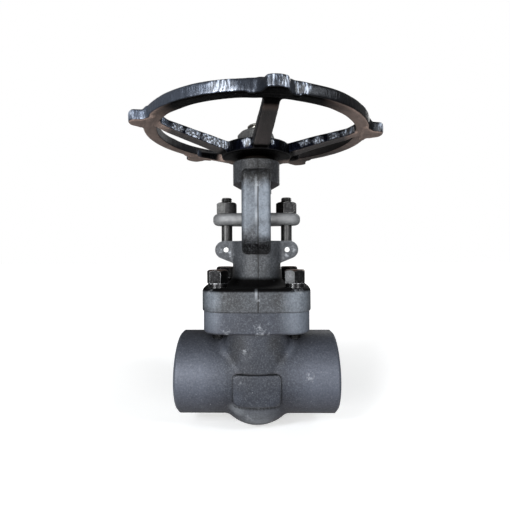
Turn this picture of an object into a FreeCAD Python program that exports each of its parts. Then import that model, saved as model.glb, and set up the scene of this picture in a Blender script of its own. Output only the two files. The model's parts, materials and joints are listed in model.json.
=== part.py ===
import FreeCAD, Part

import math
import os

# Forged steel gate valve, 50 mm nominal bore, socket ends, bolted bonnet, rising stem.
# Millimetres. The origin is where the stem axis crosses the pipe axis.
# X runs along the pipe, Z up the stem, and the front of the valve faces -Y.
# The valve is modelled shut, so the wedge sits between the seats.

V = FreeCAD.Vector
X_AXIS = V(1, 0, 0)
Y_AXIS = V(0, 1, 0)
Z_AXIS = V(0, 0, 1)
ORIGIN = V(0, 0, 0)

# Body: the pipe barrel
END_TO_END = 140.0
BARREL_R = 36.5
END_CHAMFER = 2.2
SOCKET_WALL = 5.9
SOCKET_DEPTH = 16.0
SOCKET_LEAD = 1.0
PORT_R = 19.0

# Body: the round chamber that crosses the barrel, flattened at its two sides.
# A share is a length over the barrel's radius.
CHAMBER_SHARE = 1.0466
CHAMBER_WIDTH_SHARE = 0.7671
CHAMBER_ROUND_SHARE = 0.2466
CHAMBER_BLEND_SHARE = 0.274
DOME_DROP_SHARE = 0.2877
FLOOR_WALL = 17.0
CAVITY_HALF_X = 13.6
CAVITY_HALF_Y = 28.6
CAVITY_CORNER = 12.0

# Body: the raised marking pad at the front
PAD_WIDTH = 39.0
PAD_HEIGHT = 28.4
PAD_MID_Z = -5.3
PAD_CORNER = 4.0
PAD_RISE = 2.8

# Flanges of body and bonnet: squares with bowed sides
FLANGE_STANDOFF = 6.4
BODY_FLANGE_T = 18.1
FLANGE_SIDE = 46.2
FLANGE_BOW = 3.6
FLANGE_CORNER = 17.0
BONNET_FLANGE_OVERHANG = 1.0
FLANGE_TOP_ROUND = 3.5
FLANGE_EDGE_ROUND = 2.0
FLANGE_JOINT_ROUND = 0.9
BOLT_PITCH_X = 64.6
BOLT_PITCH_Y = 64.0

# Bonnet bolts and their split lock washers
BOLT_R = 5.0
BOLT_HEAD_AF = 15.8
BOLT_HEAD_H = 11.0
BOLT_TIP_STANDOUT = 5.6
BOLT_TIP_CHAMFER = 1.2
BOLT_HEAD_CHAMFER = 1.4
THREAD_FIT = 0.05
HEX_FACE_SHARE = 0.94
BOLT_HOLE_GAP = 0.7
LOCK_WASHER_T = 3.5
LOCK_WASHER_R = 8.0
LOCK_WASHER_BORE_GAP = 0.3
LOCK_WASHER_SLIT = 1.6

# Gasket in its recess
GASKET_OUTER_R = 36.5
GASKET_WIDTH = 5.5
GASKET_T = 2.8
GASKET_FIT = 0.3

# Seats and wedge
WEDGE_ANGLE = 5.0
WEDGE_HALF_T = 9.8
WEDGE_R = 24.6
WEDGE_EAR_LOW_Z = -12.3
WEDGE_EAR_TOP_Z = 15.2
SEAT_OUTER_R = 25.4
SEAT_GAP = 0.12
SEAT_POCKET_X = 20.0
SEAT_FIT = 0.03
GUIDE_RIB_HALF = 2.9
GUIDE_RIB_REACH = 3.2
GUIDE_GAP = 0.5
LIFT = 44.0

# Stem: T-head in the wedge, backseat shoulder, plain shank
STEM_R = 8.0
STEM_STANDOUT = 5.5
STEM_TIP_CHAMFER = 1.0
STEM_NECK_R = 5.6
T_HEAD_HALF_X = 8.5
T_HEAD_HALF_Y = 8.2
T_HEAD_H = 6.5
T_SLOT_FLOOR_Z = 26.0
T_SLOT_GAP = 0.35
T_LIP_H = 5.5
BOSS_HALF_X = 9.5
BOSS_HALF_Y = 12.0
BOSS_CORNER = 2.5
COLLAR_R = 10.6
COLLAR_H = 2.0
COLLAR_CONE_H = 2.4
COLLAR_LIFT_Z = 0.8

# Bonnet neck, its bores and the backseat bush
NECK_R = 22.25
NECK_FOOT_ROUND = 9.0
POCKET_ROOM = 3.9
POCKET_ROOF = 7.8
THROAT_R = 16.0
BUSH_R = 12.4
BUSH_H = 6.4
BACKSEAT_GAP = 0.3
STEM_PASS_GAP = 0.35
WEB_H = 3.0
BOX_R = 13.0

# Packing, gland and gland flange
PACKING_COUNT = 5
PACKING_H = 4.3
PACKING_FIT = 0.05
GLAND_ENTRY = 3.35
GLAND_FIT = 0.15
GLAND_STEM_GAP = 0.3
GLAND_TAKE_UP = 14.4
GLAND_FLANGE_T = 10.8
GLAND_SEAT_DEPTH = 4.2
GLAND_FLANGE_HALF = 40.1
GLAND_FLANGE_MID_R = 17.0
GLAND_FLANGE_END_R = 10.5
GLAND_FLANGE_ROUND = 4.4
FLANGE_STEM_GAP = 1.0

# Lugs, eyebolts, their pins and nuts
EYEBOLT_X = 27.5
EYEBOLT_R = 5.0
EYEBOLT_STANDOUT = 4.4
EYEBOLT_TIP_CHAMFER = 1.0
EYE_R = 7.4
EYE_T = 9.0
PIN_R = 2.3
PIN_FIT = 0.03
PIN_STANDOUT = 0.5
PIN_CHAMFER = 0.4
LUG_PIN_DROP = 7.9
LUG_END_X = 29.6
LUG_END_R = 8.0
LUG_HALF_Y = 8.0
LUG_FOOT_DROP = 12.9
LUG_FOOT_SINK = 3.0
LUG_BLEND = 6.0
LUG_SLOT_GAP = 0.3
EYE_ROOM = 0.8
GLAND_NUT_AF = 17.0
GLAND_NUT_H = 10.2
GLAND_NUT_CHAMFER = 1.3
EYEBOLT_HOLE_GAP = 0.6

# Yoke and hub, forged with the bonnet
YOKE_HALF_X = 12.5
YOKE_HALF_Y = 30.0
YOKE_INNER_Y = 19.0
YOKE_CORNER = 4.5
YOKE_ROOT = 12.0
YOKE_LOW_ROUND = 9.0
YOKE_TOP_DROP = 9.6
YOKE_TOP_ROUND = 9.0
YOKE_INNER_ROUND = 5.0
YOKE_HUB_R = 21.4
YOKE_H = 71.7
YOKE_HUB_H = 24.0
YOKE_HUB_CONE_H = 4.3
YOKE_HUB_LOW_R = 14.0
HUB_CHAMFER = 0.8

# Stem nut, thrust washer and wheel nut
STEM_NUT_R = 11.8
STEM_NUT_COLLAR_R = 13.8
STEM_NUT_COLLAR_H = 3.6
STEM_NUT_PLAY = 0.2
STEM_NUT_STANDOUT = 1.5
RUNNING_FIT = 0.06
DRIVE_AF = 20.4
DRIVE_GAP = 0.1
DRIVE_TOP_GAP = 0.6
STEM_NUT_THREAD_R = 10.0
THRUST_WASHER_T = 2.3
THRUST_WASHER_R = 17.5
WHEEL_NUT_AF = 30.0
WHEEL_NUT_H = 12.6
WHEEL_NUT_CHAMFER_H = 3.4

# Handwheel
RIM_OUTER_R = 99.9
RIM_WIDTH = 12.1
RIM_H = 8.4
RIM_RISE = 6.3
RIM_ROUND = 1.8
WHEEL_HUB_R = 32.0
WHEEL_HUB_H = 12.8
WHEEL_HUB_ROUND = 1.6
WHEEL_BOSS_R = 18.0
WHEEL_BOSS_H = 1.0
SPOKE_COUNT = 5
FIRST_SPOKE_ANGLE = -82.1
SPOKE_HUB_WIDTH = 15.0
SPOKE_RIM_WIDTH = 12.5
SPOKE_HUB_H = 10.4
SPOKE_RIM_H = 7.5
SPOKE_HUB_DROP = 0.4
SPOKE_RIM_DROP = 1.5
SPOKE_SINK = 5.0
SPOKE_ROUND = 2.2
LUG_REACH = 11.7
LUG_TIP_HALF = 8.6
LUG_WAIST_HALF = 9.6
LUG_ROOT_HALF = 17.0
LUG_DROP = 1.1
LUG_ROUND = 2.0
LUG_ROOT_SINK = 1.6
LUG_FLARE = 2.6
LUG_WAIST_REACH = 3.4
LUG_TIP_CROWN = 2.2

# How far each hexagon and washer happens to be turned, in degrees
BOLT_TURNS = [-8, 21, 4, 33]
LOCK_WASHER_TURNS = [200, 240, 280, 320]
GLAND_NUT_TURNS = [26, 12]
WHEEL_NUT_TURN = 12

# Values worked out from the sizes above
SOCKET_R = BARREL_R - SOCKET_WALL
CHAMBER_R = BARREL_R * CHAMBER_SHARE
CHAMBER_HALF_X = BARREL_R * CHAMBER_WIDTH_SHARE
CHAMBER_SIDE_ROUND = BARREL_R * CHAMBER_ROUND_SHARE
CHAMBER_BLEND = BARREL_R * CHAMBER_BLEND_SHARE
DOME_LOW_Z = -BARREL_R * (1 + DOME_DROP_SHARE)
BODY_FLANGE_Z = BARREL_R + FLANGE_STANDOFF
JOINT_Z = BODY_FLANGE_Z + BODY_FLANGE_T
POCKET_TOP_Z = WEDGE_R + LIFT + POCKET_ROOM
BONNET_TOP_Z = POCKET_TOP_Z + POCKET_ROOF
GASKET_INNER_R = GASKET_OUTER_R - GASKET_WIDTH
DOME_MID_Z = DOME_LOW_Z + CHAMBER_R
CAVITY_LOW_Z = DOME_LOW_Z + FLOOR_WALL
COLLAR_Z = T_SLOT_FLOOR_Z + T_SLOT_GAP + T_HEAD_H + T_LIP_H + COLLAR_LIFT_Z
BUSH_LOW_Z = COLLAR_Z + COLLAR_H + LIFT
WEB_LOW_Z = BUSH_LOW_Z + BUSH_H
BOX_LOW_Z = WEB_LOW_Z + WEB_H
PACKING_TOP_Z = BOX_LOW_Z + PACKING_COUNT * PACKING_H
NECK_TOP_Z = PACKING_TOP_Z + GLAND_ENTRY
LUG_Z = NECK_TOP_Z - LUG_PIN_DROP
LUG_FOOT_Z = LUG_Z - LUG_FOOT_DROP
YOKE_LOW_Z = NECK_TOP_Z - YOKE_ROOT
YOKE_HUB_TOP_Z = NECK_TOP_Z + YOKE_H
GLAND_FLANGE_Z = NECK_TOP_Z + GLAND_TAKE_UP
GLAND_FLANGE_TOP_Z = GLAND_FLANGE_Z + GLAND_FLANGE_T
EYEBOLT_TOP_Z = GLAND_FLANGE_TOP_Z + GLAND_NUT_H + EYEBOLT_STANDOUT
YOKE_HUB_LOW_Z = YOKE_HUB_TOP_Z - YOKE_HUB_H
YOKE_TOP_Z = YOKE_HUB_TOP_Z - YOKE_TOP_DROP
WHEEL_LOW_Z = YOKE_HUB_TOP_Z + STEM_NUT_PLAY + THRUST_WASHER_T
WHEEL_HUB_TOP_Z = WHEEL_LOW_Z + WHEEL_HUB_H
STEM_NUT_TOP_Z = WHEEL_HUB_TOP_Z + WHEEL_NUT_H + STEM_NUT_STANDOUT
STEM_TOP_Z = STEM_NUT_TOP_Z + STEM_STANDOUT
RIM_INNER_R = RIM_OUTER_R - RIM_WIDTH
RIM_LOW_Z = WHEEL_HUB_TOP_Z + RIM_RISE
RIM_TOP_Z = RIM_LOW_Z + RIM_H
SPOKE_HUB_TOP_Z = WHEEL_HUB_TOP_Z - SPOKE_HUB_DROP
SPOKE_RIM_TOP_Z = RIM_TOP_Z - SPOKE_RIM_DROP
LUG_TIP_R = RIM_OUTER_R + LUG_REACH
LUG_LOW_Z = RIM_LOW_Z - LUG_DROP
BLANK_REACH = WEDGE_R + 5
BOLT_PLACES = [(i * BOLT_PITCH_X / 2, j * BOLT_PITCH_Y / 2) for j in (-1, 1) for i in (-1, 1)]


def rod(radius, low, high, x=0.0, y=0.0):
    """Upright cylinder between two heights."""
    return Part.makeCylinder(radius, high - low, V(x, y, low), Z_AXIS)


def block(x0, x1, y0, y1, z0, z1):
    """Box between pairs of limits."""
    return Part.makeBox(x1 - x0, y1 - y0, z1 - z0, V(x0, y0, z0))


def cross_rod(radius, half_y, x, z):
    """Level cylinder along Y, even to the front and the back."""
    return Part.makeCylinder(radius, 2 * half_y, V(x, -half_y, z), Y_AXIS)


def cross_prism(outline, half_y):
    """Outline of (x, z) points carried along Y, even to the front and the back."""
    points = [V(x, -half_y, z) for x, z in outline]
    return Part.Face(Part.makePolygon(points + points[:1])).extrude(V(0, 2 * half_y, 0))


def turned(profile):
    """Solid turned about the stem axis from (radius, height) points."""
    points = [V(r, 0, z) for r, z in profile]
    face = Part.Face(Part.makePolygon(points + points[:1]))
    return face.revolve(ORIGIN, Z_AXIS, 360)


def rounded_plan(half_x, half_y, corner, low, high):
    """Upright prism on a rectangle with round corners."""
    prism = block(-half_x, half_x, -half_y, half_y, low, high)
    return prism.makeFillet(corner, edges_along(prism, Z_AXIS))


def edges_along(shape, axis):
    """Straight edges that run along an axis."""
    found = []
    for edge in shape.Edges:
        way = edge.Vertexes[-1].Point.sub(edge.Vertexes[0].Point)
        if way.Length > 0 and abs(way.dot(axis)) > 0.9999 * way.Length:
            found.append(edge)
    return found


def edges_at_height(shape, z):
    """Edges that lie wholly in a level plane."""
    return [e for e in shape.Edges if abs(e.BoundBox.ZMin - z) < 1e-4 and abs(e.BoundBox.ZMax - z) < 1e-4]


def hexagon(across_flats, low, high, turn=0.0):
    """Upright hexagonal prism about the stem axis."""
    radius = across_flats / math.sqrt(3)
    angles = [math.radians(60 * i + turn) for i in range(7)]
    points = [V(radius * math.cos(a), radius * math.sin(a), low) for a in angles]
    return Part.Face(Part.makePolygon(points)).extrude(V(0, 0, high - low))


def chamfer_cone(across_flats, low, high, depth):
    """Turned blank that takes the top corners off a hexagon."""
    corner = across_flats / math.sqrt(3) + 0.2
    flat = across_flats / 2 * HEX_FACE_SHARE
    return turned([(0, low), (corner, low), (corner, high - depth), (flat, high), (0, high)])


def hex_nut(across_flats, bore, low, high, depth, turn=0.0):
    """Hexagon nut with its top corners turned off."""
    nut = hexagon(across_flats, low, high, turn).common(chamfer_cone(across_flats, low, high, depth))
    return nut.cut(rod(bore, low - 1, high + 1))


def arc_edge(start, middle, end):
    """Circular edge through three points."""
    return Part.Arc(start, middle, end).toShape()


def bowed_square(side, bow, corner, low, high):
    """Upright prism on a square whose sides bow outwards."""
    reach = side - bow
    corners = [(-reach, -reach), (reach, -reach), (reach, reach), (-reach, reach)]
    middles = [(0, -side), (side, 0), (0, side), (-side, 0)]
    edges = []
    for i in range(4):
        start, middle, end = corners[i], middles[i], corners[(i + 1) % 4]
        edges.append(arc_edge(V(*start, low), V(*middle, low), V(*end, low)))
    prism = Part.Face(Part.Wire(edges)).extrude(V(0, 0, high - low))
    return prism.makeFillet(corner, edges_along(prism, Z_AXIS))


def wedge_slab(half_at_axis, half_y):
    """Slab that thins downwards by the wedge angle on both faces."""
    slope = math.tan(math.radians(WEDGE_ANGLE))
    low, high = -2 * WEDGE_R, 2 * WEDGE_R
    points = [
        V(-half_at_axis - slope * low, -half_y, low),
        V(half_at_axis + slope * low, -half_y, low),
        V(half_at_axis + slope * high, -half_y, high),
        V(-half_at_axis - slope * high, -half_y, high),
    ]
    return Part.Face(Part.makePolygon(points + points[:1])).extrude(V(0, 2 * half_y, 0))


def barrel():
    """Pipe barrel with its machined end chamfers."""
    tube = Part.makeCylinder(BARREL_R, END_TO_END, V(-END_TO_END / 2, 0, 0), X_AXIS)
    ends = [e for e in tube.Edges if abs(e.BoundBox.XMax - e.BoundBox.XMin) < 1e-4]
    return tube.makeChamfer(END_CHAMFER, ends)


def marking_pad():
    """Raised pad that follows the barrel at the front."""
    reach = BARREL_R + PAD_RISE
    low = PAD_MID_Z - PAD_HEIGHT / 2
    pad = block(-PAD_WIDTH / 2, PAD_WIDTH / 2, -reach - 5, -BARREL_R / 2, low, low + PAD_HEIGHT)
    pad = pad.makeFillet(PAD_CORNER, edges_along(pad, Y_AXIS))
    skin = Part.makeCylinder(reach, PAD_WIDTH + 2, V(-PAD_WIDTH / 2 - 1, 0, 0), X_AXIS)
    return pad.common(skin)


def chamber():
    """Upright round chamber with a domed bottom and two flattened sides."""
    reach = CHAMBER_R + 1
    top = BODY_FLANGE_Z + BODY_FLANGE_T / 2
    trunk = rod(CHAMBER_R, DOME_MID_Z, top)
    trunk = trunk.common(block(-CHAMBER_HALF_X, CHAMBER_HALF_X, -reach, reach, DOME_MID_Z, top))
    trunk = trunk.makeFillet(CHAMBER_SIDE_ROUND, edges_along(trunk, Z_AXIS))
    dome = Part.makeSphere(CHAMBER_R, V(0, 0, DOME_MID_Z))
    dome = dome.common(block(-CHAMBER_HALF_X, CHAMBER_HALF_X, -reach, reach, DOME_LOW_Z - 1, DOME_MID_Z))
    return trunk.fuse(dome)


def lies_on_barrel(edge):
    """Whether an edge follows the barrel's skin beside the chamber."""
    if edge.Length < 1:
        return False
    points = edge.discretize(5)
    return all(abs(math.hypot(p.y, p.z) - BARREL_R) < 0.05 and abs(p.x) < CHAMBER_R for p in points)


def body_shell():
    """Barrel and chamber in one, blended where they meet."""
    shell = barrel().fuse(chamber()).removeSplitter()
    return shell.makeFillet(CHAMBER_BLEND, [e for e in shell.Edges if lies_on_barrel(e)])


def body_cavity():
    """Inside of the body: wedge chamber, ports and sockets."""
    room = rounded_plan(CAVITY_HALF_X, CAVITY_HALF_Y, CAVITY_CORNER, CAVITY_LOW_Z, JOINT_Z + 1)
    for side in (-1, 1):
        near, far = sorted((side * (CAVITY_HALF_Y - GUIDE_RIB_REACH), side * (CAVITY_HALF_Y + 1)))
        room = room.cut(block(-GUIDE_RIB_HALF, GUIDE_RIB_HALF, near, far, CAVITY_LOW_Z, JOINT_Z - GASKET_T))
    port = Part.makeCylinder(PORT_R, END_TO_END, V(-END_TO_END / 2, 0, 0), X_AXIS)
    pockets = Part.makeCylinder(SEAT_OUTER_R + SEAT_FIT, 2 * SEAT_POCKET_X, V(-SEAT_POCKET_X, 0, 0), X_AXIS)
    cavity = room.fuse([port, pockets])
    for side in (-1, 1):
        mouth = V(side * END_TO_END / 2, 0, 0)
        inward = V(-side, 0, 0)
        cavity = cavity.fuse(Part.makeCylinder(SOCKET_R, SOCKET_DEPTH, mouth, inward))
        cavity = cavity.fuse(Part.makeCone(SOCKET_R + SOCKET_LEAD, SOCKET_R, SOCKET_LEAD, mouth, inward))
    return cavity


def valve_body():
    """Forged body: barrel, chamber, top flange and marking pad in one piece."""
    solid = body_shell().fuse(marking_pad())
    flange = bowed_square(FLANGE_SIDE, FLANGE_BOW, FLANGE_CORNER, BODY_FLANGE_Z, JOINT_Z)
    flange = flange.makeFillet(FLANGE_EDGE_ROUND, edges_at_height(flange, BODY_FLANGE_Z))
    solid = solid.fuse(flange).cut(body_cavity())
    recess = rod(GASKET_OUTER_R + GASKET_FIT, JOINT_Z - GASKET_T, JOINT_Z + 1)
    solid = solid.cut(recess)
    for x, y in BOLT_PLACES:
        solid = solid.cut(rod(BOLT_R + THREAD_FIT, BODY_FLANGE_Z - 1, JOINT_Z + 1, x, y))
    return solid.removeSplitter()


def seat_ring(side):
    """Seat ring pressed into the body, with its face on the wedge angle."""
    face_room = wedge_slab(WEDGE_HALF_T + SEAT_GAP, 2 * SEAT_OUTER_R)
    length = SEAT_POCKET_X
    ring = Part.makeCylinder(SEAT_OUTER_R, length, ORIGIN, V(side, 0, 0))
    ring = ring.cut(Part.makeCylinder(PORT_R, length, ORIGIN, V(side, 0, 0)))
    return ring.cut(face_room)


def wedge():
    """Solid wedge: tapered disc, guide grooves at the sides and a T-slot boss on top."""
    disc = Part.makeCylinder(WEDGE_R, 2 * BLANK_REACH, V(-BLANK_REACH, 0, 0), X_AXIS)
    ear_y = CAVITY_HALF_Y - GUIDE_GAP
    ears = block(-BLANK_REACH, BLANK_REACH, -ear_y, ear_y, WEDGE_EAR_LOW_Z, WEDGE_EAR_TOP_Z)
    blank = disc.fuse(ears).common(wedge_slab(WEDGE_HALF_T, 2 * WEDGE_R))
    limit = rounded_plan(CAVITY_HALF_X - GUIDE_GAP, ear_y, CAVITY_CORNER, -WEDGE_R - 1, WEDGE_R + 1)
    blank = blank.common(limit)
    top = T_SLOT_FLOOR_Z + T_SLOT_GAP + T_HEAD_H + T_LIP_H
    boss = block(-BOSS_HALF_X, BOSS_HALF_X, -BOSS_HALF_Y, BOSS_HALF_Y, 0, top)
    boss = boss.makeFillet(BOSS_CORNER, edges_along(boss, Z_AXIS))
    blank = blank.fuse(boss)
    groove_half = GUIDE_RIB_HALF + GUIDE_GAP
    groove_y = CAVITY_HALF_Y - GUIDE_RIB_REACH - GUIDE_GAP
    for side in (-1, 1):
        near, far = sorted((side * groove_y, side * (ear_y + 1)))
        blank = blank.cut(block(-groove_half, groove_half, near, far, -WEDGE_R - 1, WEDGE_R + 1))
    head_y = T_HEAD_HALF_Y + T_SLOT_GAP
    neck_y = STEM_NECK_R + T_SLOT_GAP
    head_top = T_SLOT_FLOOR_Z + T_HEAD_H + T_SLOT_GAP
    blank = blank.cut(block(-BLANK_REACH, BLANK_REACH, -head_y, head_y, T_SLOT_FLOOR_Z, head_top))
    blank = blank.cut(block(-BLANK_REACH, BLANK_REACH, -neck_y, neck_y, head_top - 1, top + 1))
    return blank.removeSplitter()


def stem():
    """Stem: T-head, neck, backseat shoulder and shank."""
    head_top = T_SLOT_FLOOR_Z + T_HEAD_H
    head = block(-T_HEAD_HALF_X, T_HEAD_HALF_X, -T_HEAD_HALF_Y, T_HEAD_HALF_Y, T_SLOT_FLOOR_Z, head_top)
    shank = turned([
        (0, head_top - 1),
        (STEM_NECK_R, head_top - 1),
        (STEM_NECK_R, COLLAR_Z),
        (COLLAR_R, COLLAR_Z),
        (COLLAR_R, COLLAR_Z + COLLAR_H),
        (STEM_R, COLLAR_Z + COLLAR_H + COLLAR_CONE_H),
        (STEM_R, STEM_TOP_Z - STEM_TIP_CHAMFER),
        (STEM_R - STEM_TIP_CHAMFER, STEM_TOP_Z),
        (0, STEM_TOP_Z),
    ])
    return head.fuse(shank)


def bonnet_gasket():
    """Flat ring gasket that fills its recess in the body."""
    ring = rod(GASKET_OUTER_R, JOINT_Z - GASKET_T, JOINT_Z)
    return ring.cut(rod(GASKET_INNER_R, JOINT_Z - GASKET_T - 1, JOINT_Z + 1))


def lug_cove(side):
    """Coves that carry both cheeks of a lug into the round neck."""
    reach = NECK_R + LUG_BLEND
    mid_y = LUG_HALF_Y + LUG_BLEND
    mid_x = side * math.sqrt(reach ** 2 - mid_y ** 2)
    root_y = mid_y * NECK_R / reach
    low, high = LUG_FOOT_Z, LUG_Z + LUG_END_R
    near, far = sorted((0, mid_x))
    cove = block(near, far, -root_y, root_y, low, high)
    for way in (-1, 1):
        cove = cove.cut(rod(LUG_BLEND, low - 1, high + 1, mid_x, way * mid_y))
    return cove


def bonnet_lug(side):
    """Lug that carries one eyebolt, drawn in the XZ plane and blended into the neck."""
    centre = (side * LUG_END_X, LUG_Z)
    foot = (side * (NECK_R - LUG_FOOT_SINK), LUG_FOOT_Z)
    dx, dz = foot[0] - centre[0], foot[1] - centre[1]
    gap = math.hypot(dx, dz)
    swing = math.acos(LUG_END_R / gap)
    away = math.atan2(dz, dx) + side * swing
    touch = (centre[0] + LUG_END_R * math.cos(away), centre[1] + LUG_END_R * math.sin(away))
    outline = [(0, LUG_Z + LUG_END_R), (centre[0], LUG_Z + LUG_END_R), centre, touch, foot, (0, LUG_FOOT_Z)]
    end = cross_rod(LUG_END_R, LUG_HALF_Y, *centre)
    blends = lug_cove(side).common(cross_prism(outline, NECK_R))
    return cross_prism(outline, LUG_HALF_Y).fuse([end, blends])


def cross_edges(shape, z):
    """Edges along X at one height."""
    return [e for e in edges_along(shape, X_AXIS) if abs(e.BoundBox.ZMax - z) < 1e-4]


def yoke_arms():
    """Two flat arms, front and back, that spring from the neck and close on the hub."""
    reach = YOKE_HALF_X + 1
    loop = block(-YOKE_HALF_X, YOKE_HALF_X, -YOKE_HALF_Y, YOKE_HALF_Y, YOKE_LOW_Z, YOKE_TOP_Z)
    loop = loop.makeFillet(YOKE_LOW_ROUND, cross_edges(loop, YOKE_LOW_Z))
    loop = loop.makeFillet(YOKE_TOP_ROUND, cross_edges(loop, YOKE_TOP_Z))
    sides = [e for e in loop.Edges if abs(e.BoundBox.XMax - e.BoundBox.XMin) < 1e-4]
    loop = loop.makeFillet(YOKE_CORNER, sides)
    window = block(-reach, reach, -YOKE_INNER_Y, YOKE_INNER_Y, NECK_TOP_Z, YOKE_HUB_LOW_Z)
    window = window.makeFillet(YOKE_INNER_ROUND, cross_edges(window, YOKE_HUB_LOW_Z))
    return loop.cut(window)


def bonnet():
    """Bonnet forging: flange, neck with stuffing box, eyebolt lugs, yoke arms and hub."""
    flange = bowed_square(FLANGE_SIDE + BONNET_FLANGE_OVERHANG, FLANGE_BOW,
                          FLANGE_CORNER + BONNET_FLANGE_OVERHANG, JOINT_Z, BONNET_TOP_Z)
    flange = flange.makeFillet(FLANGE_TOP_ROUND, edges_at_height(flange, BONNET_TOP_Z))
    flange = flange.makeFillet(FLANGE_JOINT_ROUND, edges_at_height(flange, JOINT_Z))
    neck = rod(NECK_R, BONNET_TOP_Z - 1, NECK_TOP_Z)
    foot = rod(NECK_R + NECK_FOOT_ROUND, BONNET_TOP_Z - 1, BONNET_TOP_Z + NECK_FOOT_ROUND)
    cove = Part.makeTorus(NECK_R + NECK_FOOT_ROUND, NECK_FOOT_ROUND, V(0, 0, BONNET_TOP_Z + NECK_FOOT_ROUND))
    foot = foot.cut(cove)
    hub = turned([
        (0, YOKE_HUB_LOW_Z),
        (YOKE_HUB_LOW_R, YOKE_HUB_LOW_Z),
        (YOKE_HUB_R, YOKE_HUB_LOW_Z + YOKE_HUB_CONE_H),
        (YOKE_HUB_R, YOKE_HUB_TOP_Z - HUB_CHAMFER),
        (YOKE_HUB_R - HUB_CHAMFER, YOKE_HUB_TOP_Z),
        (0, YOKE_HUB_TOP_Z),
    ])
    solid = flange.fuse([foot, neck, bonnet_lug(-1), bonnet_lug(1)])
    solid = solid.fuse(yoke_arms()).fuse(hub)
    pocket = rounded_plan(CAVITY_HALF_X, CAVITY_HALF_Y, CAVITY_CORNER, JOINT_Z - 1, POCKET_TOP_Z)
    bores = rod(THROAT_R, JOINT_Z, BUSH_LOW_Z).fuse([
        rod(BUSH_R, BUSH_LOW_Z - 1, WEB_LOW_Z),
        rod(STEM_R + STEM_PASS_GAP, WEB_LOW_Z - 1, BOX_LOW_Z + 1),
        rod(BOX_R, BOX_LOW_Z, NECK_TOP_Z + 1),
        rod(STEM_NUT_R + RUNNING_FIT, YOKE_HUB_LOW_Z - 1, YOKE_HUB_TOP_Z + 1),
    ])
    solid = solid.cut([pocket, bores])
    slot_y = EYE_T / 2 + LUG_SLOT_GAP
    slot_in = EYEBOLT_X - EYE_R - EYE_ROOM
    for side in (-1, 1):
        near, far = sorted((side * slot_in, side * (LUG_END_X + LUG_END_R + 2)))
        solid = solid.cut(block(near, far, -slot_y, slot_y, LUG_FOOT_Z - 5, NECK_TOP_Z + 2))
        solid = solid.cut(cross_rod(PIN_R + PIN_FIT, NECK_R, side * EYEBOLT_X, LUG_Z))
    for x, y in BOLT_PLACES:
        solid = solid.cut(rod(BOLT_R + BOLT_HOLE_GAP, JOINT_Z - 1, BONNET_TOP_Z + 1, x, y))
    return solid.removeSplitter()


def backseat_bush():
    """Bush under the stuffing box, coned to take the shoulder of the raised stem."""
    bore = STEM_R + STEM_PASS_GAP
    ring = rod(BUSH_R, BUSH_LOW_Z, WEB_LOW_Z).cut(rod(bore, BUSH_LOW_Z - 1, WEB_LOW_Z + 1))
    wide = COLLAR_R + BACKSEAT_GAP
    cone = turned([
        (0, BUSH_LOW_Z - 1),
        (wide, BUSH_LOW_Z - 1),
        (wide, BUSH_LOW_Z + BACKSEAT_GAP),
        (bore, BUSH_LOW_Z + BACKSEAT_GAP + COLLAR_CONE_H),
        (0, BUSH_LOW_Z + BACKSEAT_GAP + COLLAR_CONE_H),
    ])
    return ring.cut(cone)


def bonnet_bolt(x, y, turn):
    """Hexagon-head bolt through the bonnet flange into the body flange."""
    seat = BONNET_TOP_Z + LOCK_WASHER_T
    tip = BODY_FLANGE_Z - BOLT_TIP_STANDOUT
    head = hexagon(BOLT_HEAD_AF, seat, seat + BOLT_HEAD_H, turn)
    head = head.common(chamfer_cone(BOLT_HEAD_AF, seat, seat + BOLT_HEAD_H, BOLT_HEAD_CHAMFER))
    shank = turned([
        (0, tip),
        (BOLT_R - BOLT_TIP_CHAMFER, tip),
        (BOLT_R, tip + BOLT_TIP_CHAMFER),
        (BOLT_R, seat + 1),
        (0, seat + 1),
    ])
    bolt = head.fuse(shank)
    bolt.translate(V(x, y, 0))
    return bolt


def lock_washer(x, y, turn):
    """Split lock washer under a bolt head."""
    low, high = BONNET_TOP_Z, BONNET_TOP_Z + LOCK_WASHER_T
    ring = rod(LOCK_WASHER_R, low, high).cut(rod(BOLT_R + LOCK_WASHER_BORE_GAP, low - 1, high + 1))
    slit = block(0, LOCK_WASHER_R + 1, -LOCK_WASHER_SLIT / 2, LOCK_WASHER_SLIT / 2, low - 1, high + 1)
    ring = ring.cut(slit)
    ring.rotate(ORIGIN, Z_AXIS, turn)
    ring.translate(V(x, y, 0))
    return ring


def packing_ring(level):
    """One square-section packing ring in the stuffing box."""
    low = BOX_LOW_Z + level * PACKING_H
    ring = rod(BOX_R, low, low + PACKING_H)
    return ring.cut(rod(STEM_R + PACKING_FIT, low - 1, low + PACKING_H + 1))


def gland():
    """Sleeve that presses the packing down, seated in the underside of the gland flange."""
    top = GLAND_FLANGE_Z + GLAND_SEAT_DEPTH
    sleeve = rod(BOX_R - GLAND_FIT, PACKING_TOP_Z, top)
    return sleeve.cut(rod(STEM_R + GLAND_STEM_GAP, PACKING_TOP_Z - 1, top + 1))


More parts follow.
